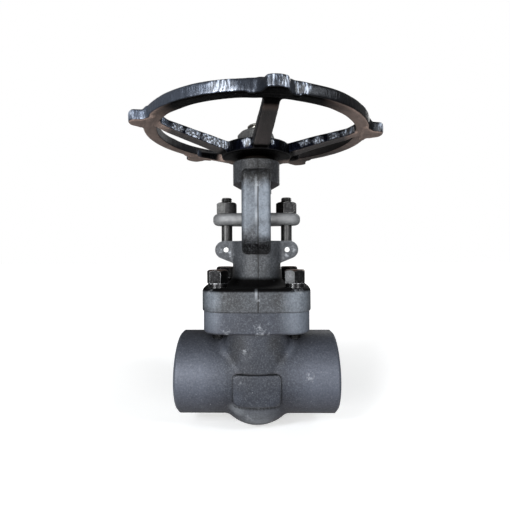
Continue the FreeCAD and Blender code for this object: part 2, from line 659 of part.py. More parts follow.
def gland_flange():
    """Oval plate over the gland, round at every edge, with a hole for each eyebolt."""
    middle = rod(GLAND_FLANGE_MID_R, GLAND_FLANGE_Z, GLAND_FLANGE_TOP_Z)
    end_x = GLAND_FLANGE_HALF - GLAND_FLANGE_END_R
    lean = math.asin((GLAND_FLANGE_MID_R - GLAND_FLANGE_END_R) / end_x)
    touch = [(r * math.sin(lean) + x, r * math.cos(lean))
             for r, x in ((GLAND_FLANGE_MID_R, 0.0), (GLAND_FLANGE_END_R, end_x))]
    (x0, y0), (x1, y1) = touch
    edges = [
        arc_edge(V(-x0, y0, 0), V(0, GLAND_FLANGE_MID_R, 0), V(x0, y0, 0)),
        Part.makeLine(V(x0, y0, 0), V(x1, y1, 0)),
        arc_edge(V(x1, y1, 0), V(GLAND_FLANGE_HALF, 0, 0), V(x1, -y1, 0)),
        Part.makeLine(V(x1, -y1, 0), V(x0, -y0, 0)),
        arc_edge(V(x0, -y0, 0), V(0, -GLAND_FLANGE_MID_R, 0), V(-x0, -y0, 0)),
        Part.makeLine(V(-x0, -y0, 0), V(-x1, -y1, 0)),
        arc_edge(V(-x1, -y1, 0), V(-GLAND_FLANGE_HALF, 0, 0), V(-x1, y1, 0)),
        Part.makeLine(V(-x1, y1, 0), V(-x0, y0, 0)),
    ]
    plate = Part.Face(Part.Wire(edges)).extrude(V(0, 0, GLAND_FLANGE_T))
    plate.translate(V(0, 0, GLAND_FLANGE_Z))
    rims = edges_at_height(plate, GLAND_FLANGE_Z) + edges_at_height(plate, GLAND_FLANGE_TOP_Z)
    plate = plate.makeFillet(GLAND_FLANGE_ROUND, rims)
    plate = plate.cut(rod(STEM_R + FLANGE_STEM_GAP, GLAND_FLANGE_Z - 1, GLAND_FLANGE_TOP_Z + 1))
    plate = plate.cut(rod(BOX_R, GLAND_FLANGE_Z - 1, GLAND_FLANGE_Z + GLAND_SEAT_DEPTH))
    for side in (-1, 1):
        hole = rod(EYEBOLT_R + EYEBOLT_HOLE_GAP, GLAND_FLANGE_Z - 1, GLAND_FLANGE_TOP_Z + 1, side * EYEBOLT_X)
        plate = plate.cut(hole)
    return plate


def eyebolt(side):
    """Swing bolt whose eye is pinned in the bonnet lug."""
    x = side * EYEBOLT_X
    eye = cross_rod(EYE_R, EYE_T / 2, x, LUG_Z)
    shank = turned([
        (0, LUG_Z),
        (EYEBOLT_R, LUG_Z),
        (EYEBOLT_R, EYEBOLT_TOP_Z - EYEBOLT_TIP_CHAMFER),
        (EYEBOLT_R - EYEBOLT_TIP_CHAMFER, EYEBOLT_TOP_Z),
        (0, EYEBOLT_TOP_Z),
    ])
    shank.translate(V(x, 0, 0))
    lug_top = LUG_Z + LUG_END_R + LUG_SLOT_GAP
    reach = EYEBOLT_R + 1
    limit = block(x - reach, x + reach, -EYE_T / 2, EYE_T / 2, LUG_Z - 1, lug_top)
    above = block(x - reach, x + reach, -reach, reach, lug_top, EYEBOLT_TOP_Z + 1)
    bolt = eye.fuse(shank.common(limit)).fuse(shank.common(above))
    return bolt.cut(cross_rod(PIN_R + PIN_FIT, EYE_T, x, LUG_Z)).removeSplitter()


def eyebolt_pin(side):
    """Pin through the lug cheeks and the eye."""
    half = LUG_HALF_Y + PIN_STANDOUT
    pin = cross_rod(PIN_R, half, side * EYEBOLT_X, LUG_Z)
    rims = [e for e in pin.Edges if abs(e.BoundBox.YMax - e.BoundBox.YMin) < 1e-4]
    return pin.makeChamfer(PIN_CHAMFER, rims)


def gland_nut(side, turn):
    """Nut on an eyebolt, seated on the gland flange."""
    low = GLAND_FLANGE_TOP_Z
    nut = hex_nut(GLAND_NUT_AF, EYEBOLT_R + THREAD_FIT, low, low + GLAND_NUT_H, GLAND_NUT_CHAMFER, turn)
    nut.translate(V(side * EYEBOLT_X, 0, 0))
    return nut


def stem_nut():
    """Threaded sleeve that turns in the yoke hub and is driven by the handwheel."""
    collar_top = YOKE_HUB_LOW_Z - STEM_NUT_PLAY
    collar_low = collar_top - STEM_NUT_COLLAR_H
    drive_low = WHEEL_LOW_Z
    drive_top = WHEEL_HUB_TOP_Z - DRIVE_TOP_GAP
    sleeve = rod(STEM_NUT_COLLAR_R, collar_low, collar_top)
    sleeve = sleeve.fuse([
        rod(STEM_NUT_R, collar_low, drive_low),
        hexagon(DRIVE_AF, drive_low - 1, drive_top),
        rod(STEM_NUT_THREAD_R, drive_low - 1, STEM_NUT_TOP_Z),
    ])
    return sleeve.cut(rod(STEM_R + RUNNING_FIT, collar_low - 1, STEM_NUT_TOP_Z + 1))


def thrust_washer():
    """Bronze washer between the yoke hub and the handwheel."""
    low = YOKE_HUB_TOP_Z + STEM_NUT_PLAY
    ring = rod(THRUST_WASHER_R, low, low + THRUST_WASHER_T)
    return ring.cut(rod(STEM_NUT_R + RUNNING_FIT, low - 1, low + THRUST_WASHER_T + 1))


def wheel_nut():
    """Lock nut that holds the handwheel on the stem nut."""
    low = WHEEL_HUB_TOP_Z
    top = low + WHEEL_NUT_H
    return hex_nut(WHEEL_NUT_AF, STEM_NUT_THREAD_R + THREAD_FIT, low, top, WHEEL_NUT_CHAMFER_H, WHEEL_NUT_TURN)


def spoke_section(radius, width, low, high):
    """Rounded rectangle across a spoke at one radius, as a wire."""
    w, r = width / 2, SPOKE_ROUND
    s = r * (1 - math.sqrt(0.5))
    runs = []
    corners = [(w, low, -1, 1), (w, high, -1, -1), (-w, high, 1, -1), (-w, low, 1, 1)]
    for i, (y, z, in_y, in_z) in enumerate(corners):
        a = V(radius, y, z + in_z * r)
        b = V(radius, y + in_y * r, z)
        start, end = (b, a) if i % 2 == 0 else (a, b)
        runs.append((start, V(radius, y + in_y * s, z + in_z * s), end))
    edges = []
    for i, (start, middle, end) in enumerate(runs):
        edges.append(arc_edge(start, middle, end))
        edges.append(Part.makeLine(end, runs[(i + 1) % 4][0]))
    return Part.Wire(edges)


def wheel_spoke():
    """Straight spoke that climbs from the hub to the rim, along +X."""
    inner = WHEEL_HUB_R - SPOKE_SINK
    outer = RIM_INNER_R + SPOKE_SINK / 2
    near = spoke_section(inner, SPOKE_HUB_WIDTH, SPOKE_HUB_TOP_Z - SPOKE_HUB_H, SPOKE_HUB_TOP_Z)
    far = spoke_section(outer, SPOKE_RIM_WIDTH, SPOKE_RIM_TOP_Z - SPOKE_RIM_H, SPOKE_RIM_TOP_Z)
    return Part.makeLoft([near, far], True, True)


def wheel_lug():
    """Grip lug outside the rim at a spoke end, along +X."""
    mid = (RIM_INNER_R + RIM_OUTER_R) / 2
    root = RIM_OUTER_R - LUG_ROOT_SINK
    throat = RIM_OUTER_R - LUG_ROOT_SINK / 4
    flare = LUG_WAIST_HALF + LUG_FLARE
    waist = RIM_OUTER_R + LUG_WAIST_REACH
    shoulder = LUG_TIP_R - LUG_TIP_CROWN
    z = LUG_LOW_Z
    edges = [
        Part.makeLine(V(mid, LUG_ROOT_HALF, z), V(mid, -LUG_ROOT_HALF, z)),
        Part.makeLine(V(mid, -LUG_ROOT_HALF, z), V(root, -LUG_ROOT_HALF, z)),
        arc_edge(V(root, -LUG_ROOT_HALF, z), V(throat, -flare, z), V(waist, -LUG_WAIST_HALF, z)),
        Part.makeLine(V(waist, -LUG_WAIST_HALF, z), V(shoulder, -LUG_TIP_HALF, z)),
        arc_edge(V(shoulder, -LUG_TIP_HALF, z), V(LUG_TIP_R, 0, z), V(shoulder, LUG_TIP_HALF, z)),
        Part.makeLine(V(shoulder, LUG_TIP_HALF, z), V(waist, LUG_WAIST_HALF, z)),
        arc_edge(V(waist, LUG_WAIST_HALF, z), V(throat, flare, z), V(root, LUG_ROOT_HALF, z)),
        Part.makeLine(V(root, LUG_ROOT_HALF, z), V(mid, LUG_ROOT_HALF, z)),
    ]
    lug = Part.Face(Part.Wire(edges)).extrude(V(0, 0, RIM_TOP_Z - LUG_LOW_Z))
    outer = [e for e in lug.Edges if e.BoundBox.XMin > waist - 0.1]
    return lug.makeFillet(LUG_ROUND, outer)


def handwheel():
    """Cast handwheel: dished, five sloping spokes, a rim of flat section and five grip lugs."""
    rim = Part.makeCylinder(RIM_OUTER_R, RIM_TOP_Z - RIM_LOW_Z, V(0, 0, RIM_LOW_Z), Z_AXIS)
    rim = rim.cut(rod(RIM_INNER_R, RIM_LOW_Z - 1, RIM_TOP_Z + 1))
    rim = rim.makeFillet(RIM_ROUND, edges_at_height(rim, RIM_LOW_Z) + edges_at_height(rim, RIM_TOP_Z))
    hub = turned([
        (0, WHEEL_LOW_Z),
        (WHEEL_BOSS_R, WHEEL_LOW_Z),
        (WHEEL_BOSS_R, WHEEL_LOW_Z + WHEEL_BOSS_H),
        (WHEEL_HUB_R - WHEEL_HUB_ROUND, WHEEL_LOW_Z + WHEEL_BOSS_H),
        (WHEEL_HUB_R, WHEEL_LOW_Z + WHEEL_BOSS_H + WHEEL_HUB_ROUND),
        (WHEEL_HUB_R, WHEEL_HUB_TOP_Z - WHEEL_HUB_ROUND),
        (WHEEL_HUB_R - WHEEL_HUB_ROUND, WHEEL_HUB_TOP_Z),
        (0, WHEEL_HUB_TOP_Z),
    ])
    arms = []
    for i in range(SPOKE_COUNT):
        angle = FIRST_SPOKE_ANGLE + i * 360 / SPOKE_COUNT
        for piece in (wheel_spoke(), wheel_lug()):
            piece.rotate(ORIGIN, Z_AXIS, angle)
            arms.append(piece)
    wheel = rim.fuse(arms).fuse(hub)
    wheel = wheel.cut(hexagon(DRIVE_AF + 2 * DRIVE_GAP, WHEEL_LOW_Z - 1, WHEEL_HUB_TOP_Z + 1))
    return wheel.removeSplitter()


def build_pieces():
    """Every piece of the valve by its node name."""
    pieces = {
        "valve_body": valve_body(),
        "seat_ring_left": seat_ring(-1),
        "seat_ring_right": seat_ring(1),
        "wedge": wedge(),
        "stem": stem(),
        "bonnet_gasket": bonnet_gasket(),
        "bonnet": bonnet(),
        "backseat_bush": backseat_bush(),
        "gland": gland(),
        "gland_flange": gland_flange(),
        "stem_nut": stem_nut(),
        "thrust_washer": thrust_washer(),
        "handwheel": handwheel(),
        "wheel_nut": wheel_nut(),
    }
    for i, (x, y) in enumerate(BOLT_PLACES):
        pieces[f"bonnet_bolt_{i + 1}"] = bonnet_bolt(x, y, BOLT_TURNS[i])
        pieces[f"lock_washer_{i + 1}"] = lock_washer(x, y, LOCK_WASHER_TURNS[i])
    for i in range(PACKING_COUNT):
        pieces[f"packing_ring_{i + 1}"] = packing_ring(i)
    for name, side, turn in (("left", -1, GLAND_NUT_TURNS[0]), ("right", 1, GLAND_NUT_TURNS[1])):
        pieces[f"eyebolt_{name}"] = eyebolt(side)
        pieces[f"eyebolt_pin_{name}"] = eyebolt_pin(side)
        pieces[f"gland_nut_{name}"] = gland_nut(side, turn)
    return pieces


def main():
    os.makedirs("parts", exist_ok=True)
    for name, shape in build_pieces().items():
        if not shape.isValid():
            raise ValueError(f"{name} is not a valid solid")
        shape.exportStep(f"parts/{name}.step")
        print(name, len(shape.Solids), round(shape.Volume, 1))


main()
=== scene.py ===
import json
import math

import bmesh
import bpy
import numpy as np
from mathutils import Matrix, Vector


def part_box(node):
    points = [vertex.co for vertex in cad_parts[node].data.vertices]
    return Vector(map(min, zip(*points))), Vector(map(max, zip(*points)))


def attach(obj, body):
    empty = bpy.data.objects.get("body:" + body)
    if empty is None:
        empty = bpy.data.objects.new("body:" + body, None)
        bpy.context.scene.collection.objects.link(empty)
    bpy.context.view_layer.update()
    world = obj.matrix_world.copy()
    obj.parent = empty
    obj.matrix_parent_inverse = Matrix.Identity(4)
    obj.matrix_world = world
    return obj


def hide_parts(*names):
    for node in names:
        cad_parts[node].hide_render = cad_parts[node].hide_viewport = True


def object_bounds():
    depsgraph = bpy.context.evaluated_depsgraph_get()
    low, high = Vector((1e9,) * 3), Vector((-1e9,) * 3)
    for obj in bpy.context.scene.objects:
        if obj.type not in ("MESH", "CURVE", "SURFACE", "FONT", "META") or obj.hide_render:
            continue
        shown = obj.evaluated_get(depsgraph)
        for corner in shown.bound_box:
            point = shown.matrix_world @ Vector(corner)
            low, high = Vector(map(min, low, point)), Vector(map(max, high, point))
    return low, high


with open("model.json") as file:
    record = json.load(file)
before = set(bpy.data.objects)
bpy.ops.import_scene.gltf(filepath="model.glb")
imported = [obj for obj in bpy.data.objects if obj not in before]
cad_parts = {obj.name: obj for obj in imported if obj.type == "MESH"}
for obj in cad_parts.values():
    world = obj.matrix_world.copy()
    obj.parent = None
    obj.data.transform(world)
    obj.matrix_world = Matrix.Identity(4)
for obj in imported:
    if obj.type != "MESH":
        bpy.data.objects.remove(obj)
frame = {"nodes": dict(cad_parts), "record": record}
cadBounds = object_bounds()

mm = 0.001
print("frame loaded:", len(frame["nodes"]), "nodes")


# Camera: the photo's place and viewing angle
camera = {
    "place": (4.2 * mm, -318.0 * mm, 109.9 * mm),
    "turn": 1.044,        # degrees to the left
    "tilt": -0.575,       # degrees upward
    "roll": 0.27,         # degrees about the line of sight
    "focal": 343.15,      # in pixels of the photo
    "frame": 510,         # the photo's width in pixels
    "sensor": 36.0,       # mm
    "nearest": 10 * mm,   # what is closer isn't drawn
}

def setCamera(view):
    data = bpy.data.cameras.new("camera")
    data.sensor_width = view["sensor"]
    data.lens = view["focal"] / view["frame"] * view["sensor"]
    data.clip_start = view["nearest"]
    obj = bpy.data.objects.new("camera", data)
    turn = Matrix.Rotation(math.radians(view["turn"]), 4, "Z")
    tilt = Matrix.Rotation(math.radians(view["tilt"]), 4, "X")
    roll = Matrix.Rotation(math.radians(view["roll"]), 4, "Y")
    level = Matrix.Rotation(math.radians(90), 4, "X")
    obj.matrix_world = Matrix.Translation(view["place"]) @ turn @ tilt @ roll @ level
    bpy.context.scene.collection.objects.link(obj)
    bpy.context.scene.camera = obj

setCamera(camera)


# Materials
def hexColor(text):
    # sRGB hex to linear: v / 12.92 up to v = 0.04045, and ((v + 0.055) / 1.055)^2.4 above it
    parts = [int(text[i:i + 2], 16) / 255 for i in (1, 3, 5)]
    return tuple(p / 12.92 if p <= 0.04045 else ((p + 0.055) / 1.055) ** 2.4 for p in parts) + (1.0,)

def addNode(tree, kind, *values, **settings):
    # adds a node and gives its outputs; values fill its inputs in order, and settings are its
    # properties, or inputs by name; an input takes a number, a place, a hex colour or another node's
    # output, and None leaves it as it is
    node = tree.nodes.new("ShaderNode" + kind)
    for key, value in [*settings.items(), *enumerate(values)]:
        if isinstance(key, str) and hasattr(node, key):
            setattr(node, key, value)
        elif isinstance(value, bpy.types.NodeSocket):
            tree.links.new(value, node.inputs[key])
        elif value is not None:
            node.inputs[key].default_value = hexColor(value) if isinstance(value, str) else value
    return node.outputs

def newMaterial(name):
    mat = bpy.data.materials.new(name)
    mat.use_nodes = True
    tree = mat.node_tree
    shader = tree.nodes["Principled BSDF"]
    return mat, tree, shader, addNode(tree, "TexCoord")["Object"]

def perMetre(size):
    # texture scale for a pattern whose features are about this many millimetres apart
    return 1.0 / (size * mm)

def joinMasks(tree, operation, first, *others):
    # MULTIPLY keeps what lies under all the masks, MAXIMUM what lies under any of them
    for other in others:
        first = addNode(tree, "Math", first, other, operation=operation)[0]
    return first

def layOver(tree, tone, finish, *masks):
    # one colour laid over another, as far as all the masks let it
    amount = joinMasks(tree, "MULTIPLY", *masks)
    numberInputs = [None] * 5      # the node's inputs for numbers and vectors, unused here
    return addNode(tree, "Mix", amount, *numberInputs, tone, finish, data_type="RGBA")[2]

def facing(tree):
    # how far the surface faces up (1) or down (-1)
    return addNode(tree, "SeparateXYZ", addNode(tree, "NewGeometry")["Normal"])[2]

def edgeWear(tree, radius, start=0.03, full=0.25):
    # 1 on sharp edges: how far a normal rounded over the radius in mm leans from the true one
    rounded = addNode(tree, "Bevel", samples=6, Radius=radius * mm)[0]
    normal = addNode(tree, "NewGeometry")["Normal"]
    lean = addNode(tree, "VectorMath", rounded, normal, operation="DOT_PRODUCT")["Value"]
    return addNode(tree, "MapRange", lean, 1.0 - start, 1.0 - full, 0.0, 1.0)[0]

def openness(tree, distance, closed, opened):
    # 1 in the open, 0 deep in a corner, from the light that surfaces within the distance in mm keep off
    light = addNode(tree, "AmbientOcclusion", samples=8, Distance=distance * mm)["AO"]
    return addNode(tree, "MapRange", light, closed, opened, 0.0, 1.0)[0]

def paintCornerShade(tree, tone, dirt, amount, distance, closed, opened):
    # the tone with that much painted shade, and grime, in its corners
    filled = layOver(tree, tone, dirt, amount)
    return layOver(tree, filled, tone, openness(tree, distance, closed, opened))

def nearPlaces(tree, coords, places):
    # 1 at each place, falling to 0 at its reach; places are ((x, y, z), reach) in mm
    masks = []
    for place, reach in places:
        centre = tuple(v * mm for v in place)
        gap = addNode(tree, "VectorMath", coords, centre, operation="DISTANCE")["Value"]
        masks.append(addNode(tree, "MapRange", gap, 0.0, reach * mm, 1.0, 0.0)[0])
    return joinMasks(tree, "MAXIMUM", *masks)

def within(tree, value, low, high, fade):
    # 1 between two places in mm, falling to 0 over the fade at either side
    rise = addNode(tree, "MapRange", value, (low - fade) * mm, low * mm, 0.0, 1.0)[0]
    fall = addNode(tree, "MapRange", value, high * mm, (high + fade) * mm, 1.0, 0.0)[0]
    return joinMasks(tree, "MULTIPLY", rise, fall)

def bothSides(*places):
    # each place and its mirror image at the valve's other side
    return [((side * x, y, z), reach) for side in (-1, 1) for (x, y, z), reach in places]

forging = {
    "oilAndShade": "#0b0a0a",           # oil stain, and painted shade in corners, creases and under ledges
    "blackShade": "#0b0a0a",        # painted shade as black as the oil, its shine taken away
    "wornAndLit": "#8b8f94",          # bare metal where an edge was rubbed; also the painted highlight beside the seam
    "paintedLight": "#666d76",          # painted light: paler where faces catch the lamps
    "bare": "#8f9297",          # a fresh knock
    "under": "#2a2627",         # painted shade on what looks down
}

# knocks show bare metal; a patch is a finish, how much of it, how ragged it is and its places; each
# place has a reach, both in mm. Most patches are painted light and shade: dark ones where shade
# falls, pale ones where faces catch the lamps
bodyLook = {
    "base": "#2e323b", "dark": "#24272f",
    "ends": "#41454f",          # the barrel's turned ends, paler and bluer than the forged middle: their own finish, and painted light
    "endsFrom": (24 * mm, 46 * mm),
    "pits": 0.24, "grit": 0.04,
    "scuffs": [((2, -14, -44), 15), ((-24, -44, 44), 7), ((5, -47, 44), 12), ((40, -44, 44), 6),
               ((-13, -38, 2), 5), ((-6, -30, -30), 10), ((44, -36, 6), 7), ((-10, -37, 26), 5)],
    "patches": [
        # painted shade, black, under the flange at the chamber's sides
        ("blackShade", 0.9, 1.0, bothSides(((32, -34, 38), 12))),
        # painted shade over the chamber, under the handwheel
        ("oilAndShade", 0.3, 0.3, [((0, -38, 18), 34)]),
        # the dome paler: rubbed metal, and painted light from below
        ("wornAndLit", 0.22, 0.3, [((0, -30, -34), 26)]),
        ("wornAndLit", 0.35, 0.5, [((2, -22, -40), 16), ((-18, -33, -24), 10)]),
        # painted shade down the sides of the chamber
        ("oilAndShade", 0.6, 0.3, [((-17, -38, 33), 12), ((16, -38, 33), 12)]),
        # painted light on the body flange's ends
        ("paintedLight", 0.45, 0.3, [((36, -46, 56), 22), ((-40, -46, 56), 15)]),
        # painted shade down the sides of the chamber
        ("oilAndShade", 0.7, 0.3, bothSides(((29, -37, 36), 10), ((25, -37, 29), 10), ((21, -37, 22), 10))),
        # a painted shadow along the foot of the marking pad, where the dome is 36.55 mm in radius
        ("oilAndShade", 0.75, 0.4, [((x, -math.sqrt(36.55 ** 2 - x * x), -19.9), 2.6) for x in range(-18, 19, 3)]),
    ],
    "topShade": (0.3, 0.95, 0.55),   # painted shade on what looks up: where it begins, is full, how much
    "topOilAndShade": None,
    "seam": None,
}
bonnetLook = {
    "base": "#36393d", "dark": "#282a2e",
    "ends": None,
    "pits": 0.32, "grit": 0.14,
    "scuffs": [((33, -43, 78), 9), ((-38, -42, 78), 6), ((-24, -8, 108), 7), ((26, -8, 106), 5),
               ((20, -44, 66), 6), ((2, -47, 71), 3), ((-33, -8, 112), 6), ((33, -8, 112), 6),
               ((2, -30, 166), 6), ((38, -46, 74), 7)],
    "patches": [
        # painted shade on the yoke hub under the handwheel, front and back
        ("oilAndShade", 0.8, 0.3, [((3, -22, 187), 27), ((0, 22, 187), 27)]),
        # painted shade on the neck
        ("oilAndShade", 0.3, 0.5, [((0, -24, 96), 26)]),
        # painted shade on the flange's front, left and right
        ("oilAndShade", 0.5, 0.3, [((-22, -46, 71), 18), ((19, -46, 71), 10)]),
        # painted light on the yoke arm's face, most on its right half
        ("paintedLight", 0.5, 0.5, [((-2, -32, z), 21) for z in (148, 157, 165)]),
        ("paintedLight", 0.75, 0.5, [((9, -31, z), 12) for z in (128, 142, 154, 165)]),
        ("paintedLight", 0.4, 0.5, [((-10, -31, z), 10) for z in (134, 146)]),
        # painted light on the flange's ends
        ("paintedLight", 0.5, 0.3, [((36, -46, 71), 20), ((-38, -44, 71), 14)]),
        # painted shade, black, at the foot of the yoke arms
        ("blackShade", 0.97, 1.0, [((-9, -35, 112), 16), ((0, -35, 111), 16), ((9, -35, 112), 16),
                               ((0, 35, 112), 15)]),
        # painted shade, black, in the arms' top folds, down the neck's sides and at the back
        ("oilAndShade", 0.97, 1.0, [((0, -31, 177), 19), ((-12, -27, 177), 16), ((12, -27, 177), 16),
                            ((-24, 0, 92), 18), ((24, 0, 92), 17), ((0, 31, 178), 15)]),
    ],
    "topShade": None,
    "topOilAndShade": 88.0,             # what looks up below this height in mm is painted black: oil, and painted shade
    "seam": 1.5,                # the parting line's x, its half width, and where its left flank shines: a painted shadow along the line and a painted highlight on the flank
    "seamHalf": 0.35,
    "seamFlank": (-2.2, -0.7),
    "seamShine": [((0, -47, 76), 6), ((0, -31, 162), 13), ((0, -31, 140), 9)],
}

# Forged carbon steel, shot blasted and manganese phosphated: a dead matt slate grey, mottled over
# centimetres with a fine grit; oil and painted shade make its corners black and its undersides and
# some tops dark, painted light makes some faces paler, and knocks bare its edges here and there.
# The blast's grit is about 0.4 mm, too fine to show, and is drawn at 1.2 mm
def forgedSteel(name, look, finishes):
    mat, tree, shader, coords = newMaterial(name)
    axes = addNode(tree, "SeparateXYZ", coords)
    cloud = addNode(tree, "TexNoise", coords, Scale=perMetre(24), Detail=4.0, Roughness=0.6)[0]
    wave = addNode(tree, "TexNoise", coords, Scale=perMetre(6), Detail=2.0, Roughness=0.6)[0]
    flake = addNode(tree, "TexNoise", coords, Scale=perMetre(3.0), Detail=5.0, Roughness=0.75)[0]
    mottle = addNode(tree, "TexNoise", coords, Scale=perMetre(1.8), Detail=2.0, Roughness=0.7)[0]
    speck = addNode(tree, "TexNoise", coords, Scale=perMetre(1.9), Detail=1.0, Roughness=0.6)[0]
    grit = addNode(tree, "TexNoise", coords, Scale=perMetre(1.2), Detail=3.0, Roughness=0.7)[0]
    light = addNode(tree, "MapRange", cloud, 0.32, 0.68, 0.0, 1.0)[0]
    tone = layOver(tree, look["dark"], look["base"], light)
    if look["ends"]:
        along = addNode(tree, "Math", axes[0], operation="ABSOLUTE")[0]
        atEnd = addNode(tree, "MapRange", along, *look["endsFrom"], 0.0, 1.0)[0]
        tone = layOver(tree, tone, look["ends"], atEnd)
    up = facing(tree)
    # painted shade on what looks down
    low = addNode(tree, "MapRange", up, -0.1, -0.9, 0.0, 0.75)[0]
    tone = layOver(tree, tone, finishes["under"], low)
    # painted shade on what looks up
    if look["topShade"]:
        begins, full, amount = look["topShade"]
        lying = addNode(tree, "MapRange", up, begins, full, 0.0, amount)[0]
        tone = layOver(tree, tone, finishes["oilAndShade"], lying)
    oiledAndShaded = 0.0
    # patches of painted shade, painted light and wear
    for finish, amount, ragged, places in look["patches"]:
        torn = addNode(tree, "Math", flake, ragged, -0.5 * ragged, operation="MULTIPLY_ADD")[0]
        near = nearPlaces(tree, coords, places)
        patch = addNode(tree, "Math", near, 1.5, torn, operation="MULTIPLY_ADD")[0]
        patch = addNode(tree, "MapRange", patch, 0.15, 0.95, 0.0, amount)[0]
        tone = layOver(tree, tone, finishes[finish], patch)
        if finish == "blackShade":
            oiledAndShaded = joinMasks(tree, "MAXIMUM", oiledAndShaded, patch)
    pits = addNode(tree, "MapRange", mottle, 0.3, 0.52, look["pits"], 0.0)[0]
    tone = layOver(tree, tone, finishes["oilAndShade"], pits)
    peaks = addNode(tree, "MapRange", mottle, 0.5, 0.72, 0.0, look["grit"])[0]
    tone = layOver(tree, tone, finishes["wornAndLit"], peaks)
    grains = addNode(tree, "MapRange", grit, 0.5, 0.78, 0.0, 0.2)[0]
    tone = layOver(tree, tone, finishes["wornAndLit"], grains)
    # painted black on what looks up low down: oil, and painted shade
    if look["topOilAndShade"]:
        lying = addNode(tree, "MapRange", up, 0.05, 0.45, 0.0, 0.96)[0]
        oiledAndShadedTop = joinMasks(tree, "MULTIPLY", lying, within(tree, axes[2], 0, look["topOilAndShade"], 6))
        tone = layOver(tree, tone, finishes["oilAndShade"], oiledAndShadedTop)
        oiledAndShaded = joinMasks(tree, "MAXIMUM", oiledAndShaded, oiledAndShadedTop)
    if look["seam"]:
        x, half = look["seam"], look["seamHalf"]
        left, right = look["seamFlank"]
        # a painted shadow along the ridge, and a painted highlight on its left flank
        line = within(tree, axes[0], x - half, x + half, half)
        tone = layOver(tree, tone, finishes["oilAndShade"], line, 0.85)
        flank = within(tree, axes[0], x + left, x + right, -right)    # fades out just at the line
        tone = layOver(tree, tone, finishes["wornAndLit"], flank, nearPlaces(tree, coords, look["seamShine"]), 0.6)
    torn = addNode(tree, "MapRange", flake, 0.5, 0.66, 0.05, 0.6)[0]
    tone = layOver(tree, tone, finishes["wornAndLit"], edgeWear(tree, 1.1), torn, openness(tree, 6, 0.85, 0.97))
    near = nearPlaces(tree, coords, look["scuffs"])
    knock = addNode(tree, "Math", near, 0.26, flake, operation="MULTIPLY_ADD")[0]
    knock = addNode(tree, "MapRange", knock, 0.66, 0.82, 0.0, 0.55)[0]
    tone = layOver(tree, tone, finishes["bare"], knock)
    nick = addNode(tree, "MapRange", speck, 0.76, 0.82, 0.0, 0.6)[0]
    tone = layOver(tree, tone, finishes["bare"], nick)
    # painted shade in the corners, broad and tight, with the oil that gathers there
    tone = paintCornerShade(tree, tone, finishes["oilAndShade"], 0.8, 14, 0.25, 0.8)
    tone = paintCornerShade(tree, tone, finishes["oilAndShade"], 0.6, 2.5, 0.4, 0.85)
    tree.links.new(tone, shader.inputs["Base Color"])
    # the black of oil and painted shade gives the lamps nothing back: its shine is taken as a metal's, as
    # dark as its colour
    metal = addNode(tree, "MapRange", oiledAndShaded, 0.0, 1.0, 0.3, 1.0)[0]
    tree.links.new(metal, shader.inputs["Metallic"])
    shader.inputs["Specular IOR Level"].default_value = 0.4
    dry = addNode(tree, "MapRange", cloud, 0.3, 0.7, 0.5, 0.62)[0]
    tree.links.new(layOver(tree, dry, "#f2f2f2", oiledAndShaded), shader.inputs["Roughness"])
    fine = addNode(tree, "Bump", Strength=0.5, Distance=0.15 * mm, Height=grit)[0]
    broad = addNode(tree, "Bump", Strength=0.4, Distance=0.8 * mm, Height=wave, Normal=fine)[0]
    tree.links.new(broad, shader.inputs["Normal"])
    return mat

enamel = {
    "paint": "#05060b",
    "sheen": "#59616f",         # painted sheen: the lamps' reflection on the crests of the runs, and a dim one along the rim
    "fleck": "#a9b1be",         # painted glints on the highest crests
    "undersideTone": "#86736a",          # painted reflection: dull brown on what looks down, at the sides and the back
    "spokeUndersideTone": "#363130",
    "inner": "#100c0b",         # the rim's inner face
    "blackDirtAndShade": "#060505",         # painted shade under the front and the hub, and dirt on the underside
    # from and to, in metres from the wheel's axis
    "hub": (34 * mm, 37 * mm),
    "rim": (78 * mm, 86 * mm),
    # from and to, in metres along X or Y
    "sheenAlongX": (-90 * mm, 40 * mm),
    "front": (-75 * mm, -40 * mm),
    "back": (12 * mm, 26 * mm),
    # from, to and fade in mm: the spokes from the wheel's axis, and the stretch along X that is painted
    # black with shade
    "spokes": (36, 78, 3),
    "inShade": (-58, 46, 30),
    # painted highlights on the runs: finish, the height of run and of gathering where it begins and is full,
    # amount
    "crests": [("sheen", (0.44, 0.62), (0.3, 0.55), 0.9), ("fleck", (0.52, 0.63), (0.34, 0.54), 0.8)],
    # where the runs catch the lamps: rim, front lug, side lugs, spokes and hub, each with its reach
    "glints": [((-21, -97, 215), 12), ((17, -110, 214), 11), ((31, -95, 215), 9),
               ((-101, -48, 217), 11), ((110, -24, 215), 10),
               ((-29, -21, 205), 9), ((-40, -26, 207), 9), ((-52, -32, 209), 9), ((-64, -37, 211), 7),
               ((42, -20, 206), 8), ((54, -21, 208), 8), ((66, -24, 210), 9), ((78, -26, 212), 9),
               ((88, -27, 213), 9), ((-8, -33, 202), 6), ((15, -31, 202), 5), ((31, -9, 202), 4)],
    # brown roots of the rear spokes and of the hub beside them
    "bare": [((-30, 26, 203), 14), ((26, 44, 205), 14), ((26, 30, 202), 12), ((-28, 10, 199), 12),
             ((29, 10, 199), 12)],
    "shadedRearRight": [((70, 66, 213), 62)],    # rear right, where the underside is painted darker, as shade
}
